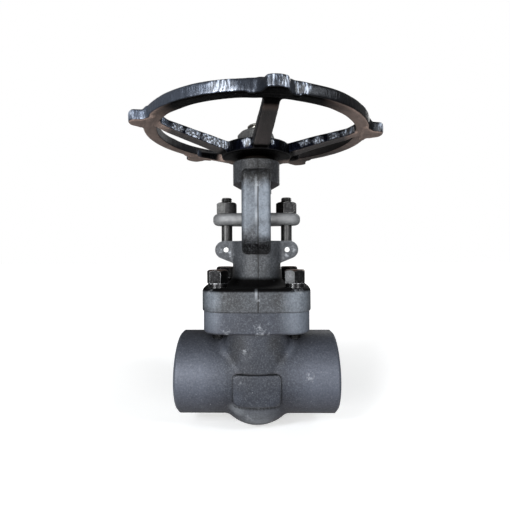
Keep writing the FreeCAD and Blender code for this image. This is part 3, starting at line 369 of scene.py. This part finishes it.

# Thick gloss enamel dipped on cast iron: blue-black, with fine upright runs that break each lamp
# into streaks, and painted highlights and glints on their crests; undersides carry a painted dull brown
# reflection with dirt, and painted shade that is black at the front and the hub.
# The runs are 1.5 mm wide and nearly five times as tall on the rim, and short specks on the spokes
def dippedEnamel(name, look):
    mat, tree, shader, coords = newMaterial(name)
    x, y = addNode(tree, "SeparateXYZ", coords)[:2]
    level = addNode(tree, "VectorMath", coords, (1.0, 1.0, 0.0), operation="MULTIPLY")[0]
    radius = addNode(tree, "VectorMath", level, operation="LENGTH")["Value"]
    atRim = addNode(tree, "MapRange", radius, *look["rim"], 0.0, 1.0)[0]
    atSpoke = within(tree, radius, *look["spokes"])
    tall = addNode(tree, "VectorMath", coords, (1.0, 1.0, 0.22), operation="MULTIPLY")[0]
    short = addNode(tree, "VectorMath", coords, (1.0, 1.0, 0.6), operation="MULTIPLY")[0]
    streaks = addNode(tree, "TexNoise", tall, Scale=perMetre(1.5), Detail=2.0, Roughness=0.6)[0]
    specks = addNode(tree, "TexNoise", short, Scale=perMetre(1.2), Detail=2.0, Roughness=0.6)[0]
    runs = addNode(tree, "Mix", atSpoke, None, streaks, specks)[0]
    cloud = addNode(tree, "TexNoise", coords, Scale=perMetre(7), Detail=2.0, Roughness=0.6)[0]
    near = joinMasks(tree, "MULTIPLY", nearPlaces(tree, coords, look["glints"]), 0.55)
    gather = addNode(tree, "Math", cloud, 0.5, near, operation="MULTIPLY_ADD")[0]
    up = facing(tree)
    lying = addNode(tree, "Math", up, operation="ABSOLUTE")[0]
    steep = addNode(tree, "MapRange", lying, 0.3, 0.75, 1.0, 0.0)[0]
    # a painted reflection: a soft sheen on the rim's steep faces, most at the left
    sheenOnLeft = addNode(tree, "MapRange", x, *look["sheenAlongX"], 0.6, 0.0)[0]
    tone = layOver(tree, look["paint"], look["sheen"], sheenOnLeft, atRim, steep)
    # painted highlights and glints on the crests of the runs, where they gather
    for finish, heights, crowd, amount in look["crests"]:
        crest = addNode(tree, "MapRange", runs, *heights, 0.0, amount)[0]
        gathered = addNode(tree, "MapRange", gather, *crowd, 0.0, 1.0)[0]
        tone = layOver(tree, tone, look[finish], crest, gathered, steep)
    # painted reflection on what looks down: dull brown, black where painted shade lies
    down = addNode(tree, "MapRange", up, -0.45, -0.8, 0.0, 1.0)[0]
    undersideTone = layOver(tree, look["spokeUndersideTone"], look["undersideTone"], atRim)
    # painted shade, black, under the hub
    underHub = addNode(tree, "MapRange", radius, *look["hub"], 1.0, 0.0)[0]
    undersideTone = layOver(tree, undersideTone, look["blackDirtAndShade"], underHub)
    atBack = addNode(tree, "MapRange", y, *look["back"], 0.0, 1.0)[0]
    undersideTone = layOver(tree, undersideTone, look["undersideTone"], atBack)
    # painted shade, darker, under the rear right
    shadedRearRight = addNode(tree, "MapRange", nearPlaces(tree, coords, look["shadedRearRight"]), 0.0, 0.73, 0.0, 0.8)[0]
    undersideTone = layOver(tree, undersideTone, look["blackDirtAndShade"], shadedRearRight)
    # painted shade, black, under the front
    atFront = addNode(tree, "MapRange", y, *look["front"], 1.0, 0.0)[0]
    blackShade = joinMasks(tree, "MULTIPLY", within(tree, x, *look["inShade"]), atFront)
    undersideTone = layOver(tree, undersideTone, look["blackDirtAndShade"], blackShade, joinMasks(tree, "MAXIMUM", atRim, 0.55))
    blotch = addNode(tree, "TexNoise", coords, Scale=perMetre(8), Detail=4.0, Roughness=0.6)[0]
    dirt = addNode(tree, "MapRange", blotch, 0.35, 0.75, 0.0, 0.35)[0]
    undersideTone = layOver(tree, undersideTone, look["blackDirtAndShade"], dirt)
    # the rim's inner face, then the painted underside, then the bare roots
    normal = addNode(tree, "NewGeometry")["Normal"]
    outward = addNode(tree, "VectorMath", normal, level, operation="DOT_PRODUCT")["Value"]
    outward = addNode(tree, "Math", outward, radius, operation="DIVIDE")[0]
    inward = addNode(tree, "MapRange", outward, -0.2, -0.6, 0.0, 0.9)[0]
    inward = joinMasks(tree, "MULTIPLY", inward, atRim)
    tone = layOver(tree, tone, look["inner"], inward)
    tone = layOver(tree, tone, undersideTone, down)
    root = addNode(tree, "MapRange", nearPlaces(tree, coords, look["bare"]), 0.0, 0.6, 0.0, 0.95)[0]
    offTop = addNode(tree, "MapRange", up, 0.3, 0.1, 0.0, 1.0)[0]
    bare = joinMasks(tree, "MULTIPLY", root, offTop)
    tone = layOver(tree, tone, look["undersideTone"], bare)
    tree.links.new(tone, shader.inputs["Base Color"])
    # a metal's shine, as dark as its colour, keeps black what mirrors no lamp: the painted shade
    # underneath, the brow that turns down to it, and steep paint between the glints
    shadedRim = joinMasks(tree, "MULTIPLY", blackShade, atRim)
    inShade = joinMasks(tree, "MULTIPLY", down, joinMasks(tree, "MAXIMUM", shadedRim, underHub))
    turning = addNode(tree, "MapRange", up, -0.1, -0.4, 0.0, 1.0)[0]
    aboveUnderside = addNode(tree, "MapRange", up, -0.45, -0.8, 1.0, 0.0)[0]
    brow = joinMasks(tree, "MULTIPLY", turning, aboveUnderside)
    between = addNode(tree, "MapRange", gather, 0.3, 0.5, 1.0, 0.0)[0]
    lessAtRim = addNode(tree, "MapRange", atRim, 0.0, 1.0, 1.0, 0.65)[0]
    still = joinMasks(tree, "MULTIPLY", between, steep, lessAtRim)
    painted = addNode(tree, "Math", 1.0, bare, operation="SUBTRACT")[0]
    metal = joinMasks(tree, "MULTIPLY", joinMasks(tree, "MAXIMUM", inShade, brow, still), painted)
    tree.links.new(metal, shader.inputs["Metallic"])
    dull = joinMasks(tree, "MAXIMUM", down, inward, bare)
    tree.links.new(layOver(tree, "#a0a0a0", "#d0d0d0", dull), shader.inputs["Roughness"])
    shader.inputs["Specular IOR Level"].default_value = 0.45
    shader.inputs["IOR"].default_value = 1.53
    wavy = addNode(tree, "Bump", Strength=0.6, Distance=0.5 * mm, Height=runs)[0]
    tree.links.new(wavy, shader.inputs["Normal"])
    return mat

# Small parts, turned, rolled or pressed, in one of several finishes: colour, stain, polish, grain,
# bare edges and slips, painted shade in the corners, and one facet wiped, with a painted highlight:
# the way it faces, its middle in mm, reach and amount. Tool marks are about 0.3 mm apart, too fine
# to show, and are drawn as a 1.4 mm grain
def plainFinish(name, base, stain, roughness, metallic=0.9, bump=0.12, topStain=None, edge=None,
                scratch=0.0, wipedAndLit=None, dirt="#0b0a09"):
    mat, tree, shader, coords = newMaterial(name)
    cloud = addNode(tree, "TexNoise", coords, Scale=perMetre(5.5), Detail=4.0, Roughness=0.65)[0]
    fine = addNode(tree, "TexNoise", coords, Scale=perMetre(1.4), Detail=3.0, Roughness=0.6)[0]
    stained = addNode(tree, "MapRange", cloud, 0.35, 0.7, 0.0, 1.0)[0]
    tone = layOver(tree, base, stain, stained)
    if topStain:
        lying = addNode(tree, "MapRange", facing(tree), 0.6, 0.95, 0.0, 0.85)[0]
        tone = layOver(tree, tone, topStain, lying)
    if edge:
        torn = addNode(tree, "MapRange", fine, 0.35, 0.6, 0.2, 1.0)[0]
        tone = layOver(tree, tone, edge, edgeWear(tree, 0.7), torn)
        slip = addNode(tree, "TexNoise", coords, Scale=perMetre(1.8), Detail=4.0, Roughness=0.75)[0]
        slip = addNode(tree, "MapRange", slip, 0.5, 0.72, 0.0, scratch)[0]
        tone = layOver(tree, tone, edge, slip)
    # a painted highlight on one facet, which is also wiped
    if wipedAndLit:
        way, middle, reach, amount = wipedAndLit
        normal = addNode(tree, "NewGeometry")["Normal"]
        lean = addNode(tree, "VectorMath", normal, way, operation="DOT_PRODUCT")["Value"]
        facet = addNode(tree, "MapRange", lean, 0.9, 0.97, 0.0, amount)[0]
        torn = addNode(tree, "MapRange", fine, 0.3, 0.6, 0.55, 1.0)[0]
        tone = layOver(tree, tone, edge, facet, nearPlaces(tree, coords, [(middle, reach)]), torn)
    # painted shade in the corners
    tone = paintCornerShade(tree, tone, dirt, 0.8, 8, 0.2, 0.75)
    tree.links.new(tone, shader.inputs["Base Color"])
    shader.inputs["Metallic"].default_value = metallic
    rough = addNode(tree, "MapRange", fine, 0.3, 0.7, roughness - 0.08, roughness + 0.08)[0]
    tree.links.new(rough, shader.inputs["Roughness"])
    grained = addNode(tree, "Bump", Strength=bump, Distance=0.2 * mm, Height=fine)[0]
    tree.links.new(grained, shader.inputs["Normal"])
    return mat

# Black oxide on high tensile bolts: near black, rust brown on the heads, bright where a spanner slipped
blackOxide = {"base": "#0d0d0e", "stain": "#040404", "roughness": 0.42, "metallic": 0.95, "bump": 0.8,
              "topStain": "#6b5040", "edge": "#a3a5a8", "scratch": 0.05}
# Oiled gland nuts: the same black without the rust; the left one is paler, partly as painted light,
# and has a wiped facet with a painted highlight
oiledNut = {"base": "#1b1b1c", "stain": "#101010", "edge": "#8b8b8a", "scratch": 0.12}
palerNut = {"base": "#3c3c3d", "stain": "#262626", "edge": "#8f8f8e", "scratch": 0.15}

materials = {
    "forging": forgedSteel("phosphatedBody", bodyLook, forging),
    "bonnetForging": forgedSteel("phosphatedBonnet", bonnetLook, forging),
    "wheel_paint": dippedEnamel("dippedEnamel", enamel),
    # stainless trim, turned bright
    "trim_steel": plainFinish("stainlessTrim", "#b3b0aa", "#8f8c86", 0.3),
    # tumbled and lightly oiled plate: neutral satin grey
    "gland_steel": plainFinish("satinGlandSteel", "#646566", "#4f5052", 0.52, 0.15, edge="#727375"),
    "bolt_steel": plainFinish("blackOxide", **blackOxide),
    # the front right bolt: a wiped facet with a painted highlight
    "wipedAndLitBolt": plainFinish("wipedAndLitOxide", **blackOxide,
                             wipedAndLit=((-0.63, -0.78, 0.0), (27, -38, 90), 14, 0.9)),
    # spring steel, oil quenched: dark, with bright corners: worn edges and painted glints
    "lock_washer_steel": plainFinish("springSteel", "#252526", "#0e0e0f", 0.3, edge="#a9abad"),
    # rolled bar under its dark scale
    "eyebolt_steel": plainFinish("darkRolledSteel", "#343434", "#232323", 0.42, 0.5, edge="#6d6c6a"),
    # bright drawn pin, nearly white: bright steel with a painted highlight, and dark edges
    "pin_steel": plainFinish("brightPin", "#f0f0ee", "#d9d9d7", 0.3, 0.3, edge="#2c2c2c"),
    "gland_nut_steel": plainFinish("oiledNut", **oiledNut, roughness=0.42, metallic=0.95, bump=0.4),
    # the left gland nut: paler, partly as painted light, with a wiped facet and a painted highlight
    "wipedAndLitNut": plainFinish("wipedAndLitNut", **palerNut, roughness=0.42, metallic=0.95, bump=0.4,
                            wipedAndLit=((-0.56, -0.83, 0.0), (-32, -7, 149), 22, 1.0)),
    # pressed graphite, soft and dark grey
    "graphite": plainFinish("graphitePacking", "#26282a", "#1c1d1f", 0.5, 0.2),
    # wound strip, grey with darker filler
    "gasket": plainFinish("spiralGasket", "#8d8b87", "#5f5e5b", 0.4),
    # leaded bronze gone nearly black with oil and dirt, and painted shade between the hubs
    "bronze": plainFinish("oiledAndShadedBronze", "#0f0b07", "#070504", 0.6, 1.0),
    # zinc plate gone dull
    "wheel_nut_steel": plainFinish("dullZinc", "#565656", "#3c3c3b", 0.6, 0.3, edge="#7f7f7d"),
}
print("materials made:", len(materials))

slotOf = {part["node"]: part["material_slot"] for part in frame["record"]["subparts"]}
# nodes that look different from the rest of their slot
special = {"bonnet": "bonnetForging", "gland_nut_left": "wipedAndLitNut", "bonnet_bolt_2": "wipedAndLitBolt"}
for node, slot in slotOf.items():
    dressed = frame["nodes"][node].data.materials
    dressed.clear()
    dressed.append(materials[special.get(node, slot)])


# Shapes as whole arrays
weld = 0.002 * mm    # corners closer than this are one

def latticeNoise(points, size, seed):
    # a random value from 0 to 1 at each corner of a cubic lattice, blended across each cell by
    # 3t^2 - 2t^3; the value is 16 bits of the corner's whole numbers and the seed, scrambled
    primes, seedPrime, scramble = np.array([73856093, 19349663, 83492791]), 2654435761, 1274126177
    scaled = points / size
    cell = np.floor(scaled).astype(np.int64)
    t = scaled - cell
    t = t * t * (3 - 2 * t)
    total = np.zeros(len(points))
    for corner in np.ndindex(2, 2, 2):
        mixed = np.bitwise_xor.reduce((cell + corner) * primes, axis=1) ^ (seed * seedPrime)
        mixed = ((mixed ^ (mixed >> 13)) * scramble) & 0x7fffffff
        weight = np.prod(np.where(corner, t, 1 - t), axis=1)
        total += weight * ((mixed >> 7) & 0xffff) / 0xffff
    return total

def smoothStep(value, low, high):
    # 3t^2 - 2t^3 of the way t from low to high
    t = np.clip((value - low) / (high - low), 0, 1)
    return t * t * (3 - 2 * t)

def coordsOf(mesh):
    flat = np.empty(len(mesh.vertices) * 3)
    mesh.vertices.foreach_get("co", flat)
    return flat.reshape(-1, 3)

def normalsOf(mesh):
    flat = np.empty(len(mesh.vertices) * 3)
    mesh.vertex_normals.foreach_get("vector", flat)
    return flat.reshape(-1, 3)

def putCoords(mesh, points):
    mesh.vertices.foreach_set("co", points.ravel())
    mesh.update()

def addPiece(name, mesh, body, material):
    obj = bpy.data.objects.new(name, mesh)
    bpy.context.scene.collection.objects.link(obj)
    mesh.materials.clear()
    mesh.materials.append(material)
    mesh.shade_smooth()
    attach(obj, body)
    return obj

def mergedTriangles(node):
    # the CAD node's loose triangles with their shared corners joined
    bm = bmesh.new()
    bm.from_mesh(frame["nodes"][node].data)
    bmesh.ops.remove_doubles(bm, verts=bm.verts, dist=weld)
    return bm

def meshOf(bm, name):
    mesh = bpy.data.meshes.new(name)
    bm.to_mesh(mesh)
    bm.free()
    return mesh

def gridFaces(rows, columns, wrap):
    # four-sided faces between neighbouring rows and columns; wrap joins the last column to the first
    r = np.arange(rows - 1)[:, None] * columns
    c = np.arange(columns if wrap else columns - 1)[None, :]
    nextC = (c + 1) % columns
    corners = [r + c, r + nextC, r + columns + nextC, r + columns + c]
    return np.stack(corners, axis=-1).reshape(-1, 4).tolist()

def meshFrom(name, points, faces):
    mesh = bpy.data.meshes.new(name)
    mesh.from_pydata(points.tolist(), [], faces)
    mesh.validate()
    return mesh

def modified(mesh, kind, **settings):
    # the mesh as one modifier leaves it
    obj = bpy.data.objects.new("working", mesh)
    bpy.context.scene.collection.objects.link(obj)
    modifier = obj.modifiers.new("working", kind)
    for name, value in settings.items():
        setattr(modifier, name, value)
    evaluated = obj.evaluated_get(bpy.context.evaluated_depsgraph_get())
    result = bpy.data.meshes.new_from_object(evaluated)
    bpy.data.objects.remove(obj)
    return result


# Handwheel: the casting under its thick paint, with sags, lumps and softened corners
wheel = {
    "voxel": 0.9 * mm,           # its skin is rebuilt from cubes, then relaxed so that corners fill
    "smoothing": 5,
    "sagDepth": 0.2 * mm,        # broad upright runs of paint; the fine ones are in the material
    "sagSize": (4.0, 4.0, 14.0),
    "sagRange": (0.25, 0.75),    # the noise at which the sinking begins and is full
    "sagFade": 1.4,              # how fast runs fade out on faces that lean
    "lumpDepth": 0.4 * mm,
    "lumpSize": 10.0,
    # the casting is warped: how far it climbs for each unit along X and along Y, and where that begins
    "slope": (-0.014, 0.024),
    "flatR": 32 * mm,
    "fullR": 100 * mm,
    # between its lugs the rim stands higher and is taller than they are; radii where that fades in
    # and out
    "ring": (80 * mm, 88 * mm, 99.5 * mm, 102 * mm),
    "ringLift": 1.5 * mm,
    "ringGrowth": 1.7 * mm,
    # its lugs narrow from foot to tip: the front one's angle in degrees, then radius and how much
    # wider at foot and tip; the taper fades in before the foot and out beside the lugs
    "lugs": 5,
    "lugTurn": -82.1,
    "lugTaper": ((100 * mm, 0.06), (110 * mm, -0.16)),
    "lugRoot": 4 * mm,
    "lugHalf": (9.5 * mm, 17 * mm),
}

def sculptWheel(form):
    # each point sinks along its normal by sag noise (tall cells, on upright faces only) plus round
    # lumps; the ring climbs by lift + growth * (z - middle) / height; every point climbs by
    # slope * place, faded in from flatR to fullR, and turns by taper * its angle from the nearest lug
    skin = modified(meshOf(mergedTriangles("handwheel"), "handwheelCopy"), "REMESH",
                    mode="VOXEL", voxel_size=form["voxel"])
    mesh = modified(skin, "SMOOTH", factor=0.5, iterations=form["smoothing"])
    points, normals = coordsOf(mesh), normalsOf(mesh)
    upright = np.clip(1 - np.abs(normals[:, 2]) * form["sagFade"], 0, 1)
    sag = latticeNoise(points / mm, np.array(form["sagSize"]), seed=3)
    sag = np.interp(sag, form["sagRange"], (0, 1))
    lump = latticeNoise(points / mm, form["lumpSize"], seed=5)
    depth = form["sagDepth"] * sag * upright + form["lumpDepth"] * lump
    points = points - normals * depth[:, None]
    radius = np.hypot(points[:, 0], points[:, 1])
    begins, inner, outer, ends = form["ring"]
    z = points[(radius > inner) & (radius < outer), 2]
    along = (points[:, 2] - (z.min() + z.max()) / 2) / (z.max() - z.min())
    inRing = smoothStep(radius, begins, inner) * (1 - smoothStep(radius, outer, ends))
    points[:, 2] += (form["ringLift"] + form["ringGrowth"] * np.clip(along, -0.5, 0.5)) * inRing
    climb = points[:, :2] @ np.array(form["slope"])
    points[:, 2] += climb * smoothStep(radius, form["flatR"], form["fullR"])
    spacing = 2 * np.pi / form["lugs"]
    turn = np.arctan2(points[:, 1], points[:, 0])
    off = (turn - np.radians(form["lugTurn"]) + spacing / 2) % spacing - spacing / 2
    (foot, wider), (tip, narrower) = form["lugTaper"]
    taper = np.interp(radius, (foot, tip), (wider, narrower))
    taper *= smoothStep(radius, foot - form["lugRoot"], foot)
    taper *= 1 - smoothStep(np.abs(off) * radius, *form["lugHalf"])
    turn += off * taper
    points[:, 0], points[:, 1] = radius * np.cos(turn), radius * np.sin(turn)
    putCoords(mesh, points)
    piece = addPiece("handwheelCasting", mesh, "wheel", materials["wheel_paint"])
    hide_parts("handwheel")

sculptWheel(wheel)
print("handwheel sculpted")


# Threads of the stem and the eyebolts, all in mm
threads = {
    # perPitch and around: points along a pitch and around; flat: the share of a pitch that is flat
    # at the crest, and at the root
    "stem": {"radius": 8.0, "pitch": 4.0, "depth": 1.6, "low": 136.0, "high": 226.0, "chamfer": 1.4,
             "around": 56, "perPitch": 12, "flat": 0.3},
    "eyebolt": {"radius": 5.0, "pitch": 1.5, "depth": 0.85, "low": 141.0, "high": 159.2, "chamfer": 1.0,
                "around": 40, "perPitch": 8, "flat": 0.12},
    "under": 0.02,        # how far the crests stay under the CAD's skin
    "overlap": 0.5,       # how far the CAD's part reaches up into the threaded one
    "sharpAngle": 35,     # degrees between two faces past which their edge is drawn sharp
}

def threadSurface(place, form):
    # a cylinder whose radius falls and rises once a pitch along a helix: the wave is a triangle cut
    # off by a flat at crest and root; it fades in at the foot and is turned down at the tip
    pitch, low, high, around, flat = (form[key] for key in ("pitch", "low", "high", "around", "flat"))
    rows = int((high - low) / pitch * form["perPitch"]) + 1
    z = np.linspace(low, high, rows)[:, None]
    angle = np.linspace(0, 2 * np.pi, around, endpoint=False)[None, :]
    phase = (z / pitch - angle / (2 * np.pi)) % 1.0
    wave = np.clip((np.abs(2 * phase - 1) - flat) / (1 - 2 * flat), 0, 1)
    fade = np.clip((z - low) / pitch, 0, 1)
    radius = form["radius"] - threads["under"] - form["depth"] * wave * fade
    tip = form["radius"] - np.clip(z - (high - form["chamfer"]), 0, None)
    radius = np.minimum(radius, tip)
    x = place[0] + radius * np.cos(angle)
    y = place[1] + radius * np.sin(angle)
    points = np.stack([x, y, z + 0 * x], axis=-1).reshape(-1, 3)
    points = np.vstack([points, [[*place, low], [*place, high]]]) * mm
    ring = np.arange(around)
    after = (ring + 1) % around
    last = (rows - 1) * around
    foot = np.stack([after, ring, np.full_like(ring, len(points) - 2)], axis=-1)
    head = np.stack([last + ring, last + after, np.full_like(ring, len(points) - 1)], axis=-1)
    return points, gridFaces(rows, around, True) + foot.tolist() + head.tolist()

def threadedPiece(name, node, place, form, body):
    # the CAD node below the thread, closed with a flat cut, and the threaded length above it
    bm = mergedTriangles(node)
    everything = bm.verts[:] + bm.edges[:] + bm.faces[:]
    cutPlace = (0, 0, (form["low"] + threads["overlap"]) * mm)
    cut = bmesh.ops.bisect_plane(bm, geom=everything, plane_co=cutPlace, plane_no=(0, 0, 1),
                                 clear_outer=True)
    rim = [e for e in cut["geom_cut"] if isinstance(e, bmesh.types.BMEdge)]
    bmesh.ops.holes_fill(bm, edges=rim)
    points, faces = threadSurface(place, form)
    made = [bm.verts.new(p) for p in points.tolist()]
    for face in faces:
        bm.faces.new([made[i] for i in face])
    mesh = meshOf(bm, name)
    piece = addPiece(name, mesh, body, materials[slotOf[node]])
    mesh.set_sharp_from_angle(angle=math.radians(threads["sharpAngle"]))
    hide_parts(node)

threadedPiece("threadedStem", "stem", (0, 0), threads["stem"], "stem_and_wedge")
for side in ("left", "right"):
    low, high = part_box("eyebolt_" + side)
    middle = (low[0] + high[0]) / 2 / mm
    threadedPiece("threadedEyebolt_" + side, "eyebolt_" + side, (middle, 0), threads["eyebolt"], "valve")
print("threads cut")


# Parting ridge: the trimmed seam that the forging dies left up the middle of the bonnet, in mm
ridge = {
    "x": 1.5,
    "halfWidth": 0.9,
    "height": 0.3,
    "rough": (0.55, 1.15),    # the least and the most of that height
    "roughSize": 3.0,
    "step": 0.5,              # between rows
    "columns": 7,
    "endLength": 2.5,         # over which each end dies away
    "sunk": 0.3,              # how far its borders and ends lie below the skin
    "reach": 80.0,            # how far out its points start
    # lowest and highest z of each stretch
    "stretches": [(62.0, 76.5), (90.5, 105.5), (112.0, 171.0), (178.0, 189.5)],
}

def ridgeMesh(form, low, high, side):
    # a grid of rows up the surface and columns across: each point is dropped onto the bonnet along Y,
    # then raised by height * cos(across) * rough * ends; the two border columns sink below the skin
    step = form["step"]
    rows = int((high - low) / step) + 1
    across = np.linspace(-1, 1, form["columns"])
    x, z = np.meshgrid(form["x"] + form["halfWidth"] * across, np.linspace(low, high, rows))
    flat = np.stack([x, np.full_like(x, side * form["reach"]), z], axis=-1).reshape(-1, 3) * mm
    mesh = meshFrom("ridge", flat, gridFaces(rows, form["columns"], False))
    landed = modified(mesh, "SHRINKWRAP", wrap_method="PROJECT", use_project_y=True,
                      use_negative_direction=True, use_positive_direction=True,
                      target=frame["nodes"]["bonnet"])
    points = coordsOf(landed)
    row = np.repeat(np.arange(rows), form["columns"])
    column = np.tile(across, rows)
    # each side reads its own line of the noise
    place = np.stack([row * step / form["roughSize"], 0 * row + side * 5.0, 0 * row], axis=-1)
    least, most = form["rough"]
    rough = least + (most - least) * latticeNoise(place, 1.0, seed=11)
    ends = np.clip(np.minimum(row, rows - 1 - row) * step / form["endLength"], 0, 1)
    lift = form["height"] * np.cos(column * np.pi / 2) * rough * ends - form["sunk"] * (1 - ends)
    lift = np.where(np.abs(column) == 1, -form["sunk"], lift)
    points[:, 1] += side * lift * mm
    putCoords(landed, points)
    if side < 0:
        landed.flip_normals()
    return landed

for i, (low, high) in enumerate(ridge["stretches"]):
    for side, word in ((-1, "front"), (1, "back")):
        name = f"partingRidge_{word}_{i + 1}"
        addPiece(name, ridgeMesh(ridge, low, high, side), "valve", materials["bonnetForging"])
print("parting ridge laid")


# Marking pad: on the forging it stands over barrel, chamber and dome alike, so one curved plate is
# laid over the CAD's pad, which the dome breaks through; all in mm
pad = {
    "half": (19.3, 13.4),
    "corner": 4.0,
    "middleZ": -4.5,
    "barrelR": 39.35,
    "domeR": 40.6,
    "domeZ": -8.8,
    "domeFlat": 0.6,      # how much of the dome's curve across the barrel it follows
    "blend": 40,          # power that joins barrel and dome; a higher one makes a sharper valley
    "bevel": 1.1,
    "bevelLeans": (0, 22, 45, 68, 90),      # degrees
    "sink": 8.0,
    "around": 120,
    "rings": (12.9, 11.0, 8.0, 5.5, 3.5, 2.2),    # flat rings, by how far they lie inside the edge
    "cornerPoints": 50,   # of each rounded corner, before the outline's points are spaced evenly
}

def padMesh(form):
    # outline: a rounded rectangle, its points spaced evenly; rings: the outline times (1 - inset/half);
    # y = -(a^p + b^p)^(1/p), a = sqrt(barrelR^2 - z^2), b = sqrt(domeR^2 - domeFlat x^2 - below^2)
    half, corner, around, power = np.array(form["half"]), form["corner"], form["around"], form["blend"]
    turn = np.linspace(0, 2 * np.pi, 4 * form["cornerPoints"], endpoint=False)
    ring = np.stack([np.cos(turn), np.sin(turn)], axis=-1)
    outline = np.sign(ring) * (half - corner) + corner * ring
    outline = np.vstack([outline, outline[:1]])
    length = np.concatenate([[0], np.cumsum(np.hypot(*np.diff(outline, axis=0).T))])
    place = np.linspace(0, length[-1], around, endpoint=False)
    outline = np.stack([np.interp(place, length, outline[:, i]) for i in (0, 1)], axis=-1)
    lean = np.radians(form["bevelLeans"])
    inset = np.concatenate([form["rings"], form["bevel"] * (1 - np.sin(lean)), [0.0]])
    level = np.zeros(len(form["rings"]))
    drop = np.concatenate([level, form["bevel"] * (1 - np.cos(lean)), [form["sink"]]])
    flat = outline[None] * (1 - inset[:, None, None] / half)
    x, z = flat[..., 0], flat[..., 1] + form["middleZ"]
    below = np.minimum(z - form["domeZ"], 0)
    a = np.sqrt(form["barrelR"] ** 2 - z ** 2)
    b = np.sqrt(form["domeR"] ** 2 - form["domeFlat"] * x ** 2 - below ** 2)
    y = -(a ** power + b ** power) ** (1 / power) + drop[:, None]
    points = np.stack([x, y, z], axis=-1).reshape(-1, 3)
    middle = [[0.0, y[0].min(), form["middleZ"]]]
    fan = [[(i + 1) % around, i, len(points)] for i in range(around)]
    return meshFrom("pad", np.vstack([points, middle]) * mm, gridFaces(len(inset), around, True) + fan)

addPiece("raisedPad", padMesh(pad), "valve", materials["forging"])
print("marking pad raised")


# Floor, backdrop and soft studio light
studio = {
    "floorZ": cadBounds[0][2],
    "floorSize": 8.0,
    "floorColor": "#f4f4f3",
    "floorShade": "#c4c4c4",    # what the floor throws back on the part
    "floorRoughness": 0.9,
    "floorGlow": (0.38, 1.0),   # added for the eye, near and far, so that it meets the backdrop unseen
    "glowPlaces": (0.15, 1.0),  # how near and how far, in metres
    "worldColor": "#ffffff",
    "seenLight": 1.0,           # the backdrop is white to the eye
    "worldLight": 0.2,          # and dimmer as a light, so that the lamps give the shape
    # name, place, aim, size (m), power (W), colour
    "lamps": [
        ("leftKey", (-0.78, -1.10, 0.79), (0, 0, 0.15), 0.3, 9.0, (0.9, 0.95, 1.0)),
        ("rightKey", (1.06, -0.78, 0.80), (0, 0, 0.15), 0.25, 6.5, (0.9, 0.95, 1.0)),
        ("leftFill", (-0.75, -1.3, 0.14), (0, 0, 0.08), 0.5, 30.0, (1.0, 1.0, 1.0)),
        ("rightFill", (0.7, -1.3, 0.14), (0, 0, 0.08), 0.5, 16.0, (1.0, 1.0, 1.0)),
        ("backLamp", (0.6, 1.3, 0.7), (0, 0, 0.12), 0.6, 4.0, (1.0, 1.0, 1.0)),
    ],
}

# Pale matt paper under the part; the eye sees it brighter with distance, the part only as a grey
def palePaper(look):
    mat, tree, shader, coords = newMaterial("palePaper")
    shader.inputs["Roughness"].default_value = look["floorRoughness"]
    shader.inputs["Emission Color"].default_value = hexColor(look["worldColor"])
    direct = addNode(tree, "LightPath")["Is Camera Ray"]
    tone = layOver(tree, look["floorShade"], look["floorColor"], direct)
    tree.links.new(tone, shader.inputs["Base Color"])
    gap = addNode(tree, "VectorMath", coords, operation="LENGTH")["Value"]
    glow = addNode(tree, "MapRange", gap, *look["glowPlaces"], *look["floorGlow"])[0]
    tree.links.new(joinMasks(tree, "MULTIPLY", direct, glow), shader.inputs["Emission Strength"])
    return mat

def layFloor(look):
    half, z = look["floorSize"] / 2, look["floorZ"]
    mesh = bpy.data.meshes.new("floor")
    corners = [(-half, -half, z), (half, -half, z), (half, half, z), (-half, half, z)]
    mesh.from_pydata(corners, [], [(0, 1, 2, 3)])
    mesh.materials.append(palePaper(look))
    floor = bpy.data.objects.new("floor", mesh)
    bpy.context.scene.collection.objects.link(floor)

def hangLamps(look):
    for name, place, aim, size, power, color in look["lamps"]:
        data = bpy.data.lights.new(name, "AREA")
        data.size = size
        data.energy = power
        data.color = color
        lamp = bpy.data.objects.new(name, data)
        way = Vector(aim) - Vector(place)
        lamp.matrix_world = Matrix.Translation(place) @ way.to_track_quat("-Z", "Y").to_matrix().to_4x4()
        bpy.context.scene.collection.objects.link(lamp)

def lightWorld(look):
    world = bpy.data.worlds.new("studio")
    world.use_nodes = True
    tree = world.node_tree
    dim = addNode(tree, "Background", Color=look["worldColor"], Strength=look["worldLight"])[0]
    seen = addNode(tree, "Background", Color=look["worldColor"], Strength=look["seenLight"])[0]
    direct = addNode(tree, "LightPath")["Is Camera Ray"]
    both = addNode(tree, "MixShader", direct, dim, seen)[0]
    tree.links.new(both, tree.nodes["World Output"].inputs["Surface"])
    bpy.context.scene.world = world
    bpy.context.scene.view_settings.view_transform = "Standard"

layFloor(studio)
hangLamps(studio)
lightWorld(studio)
print("studio ready")
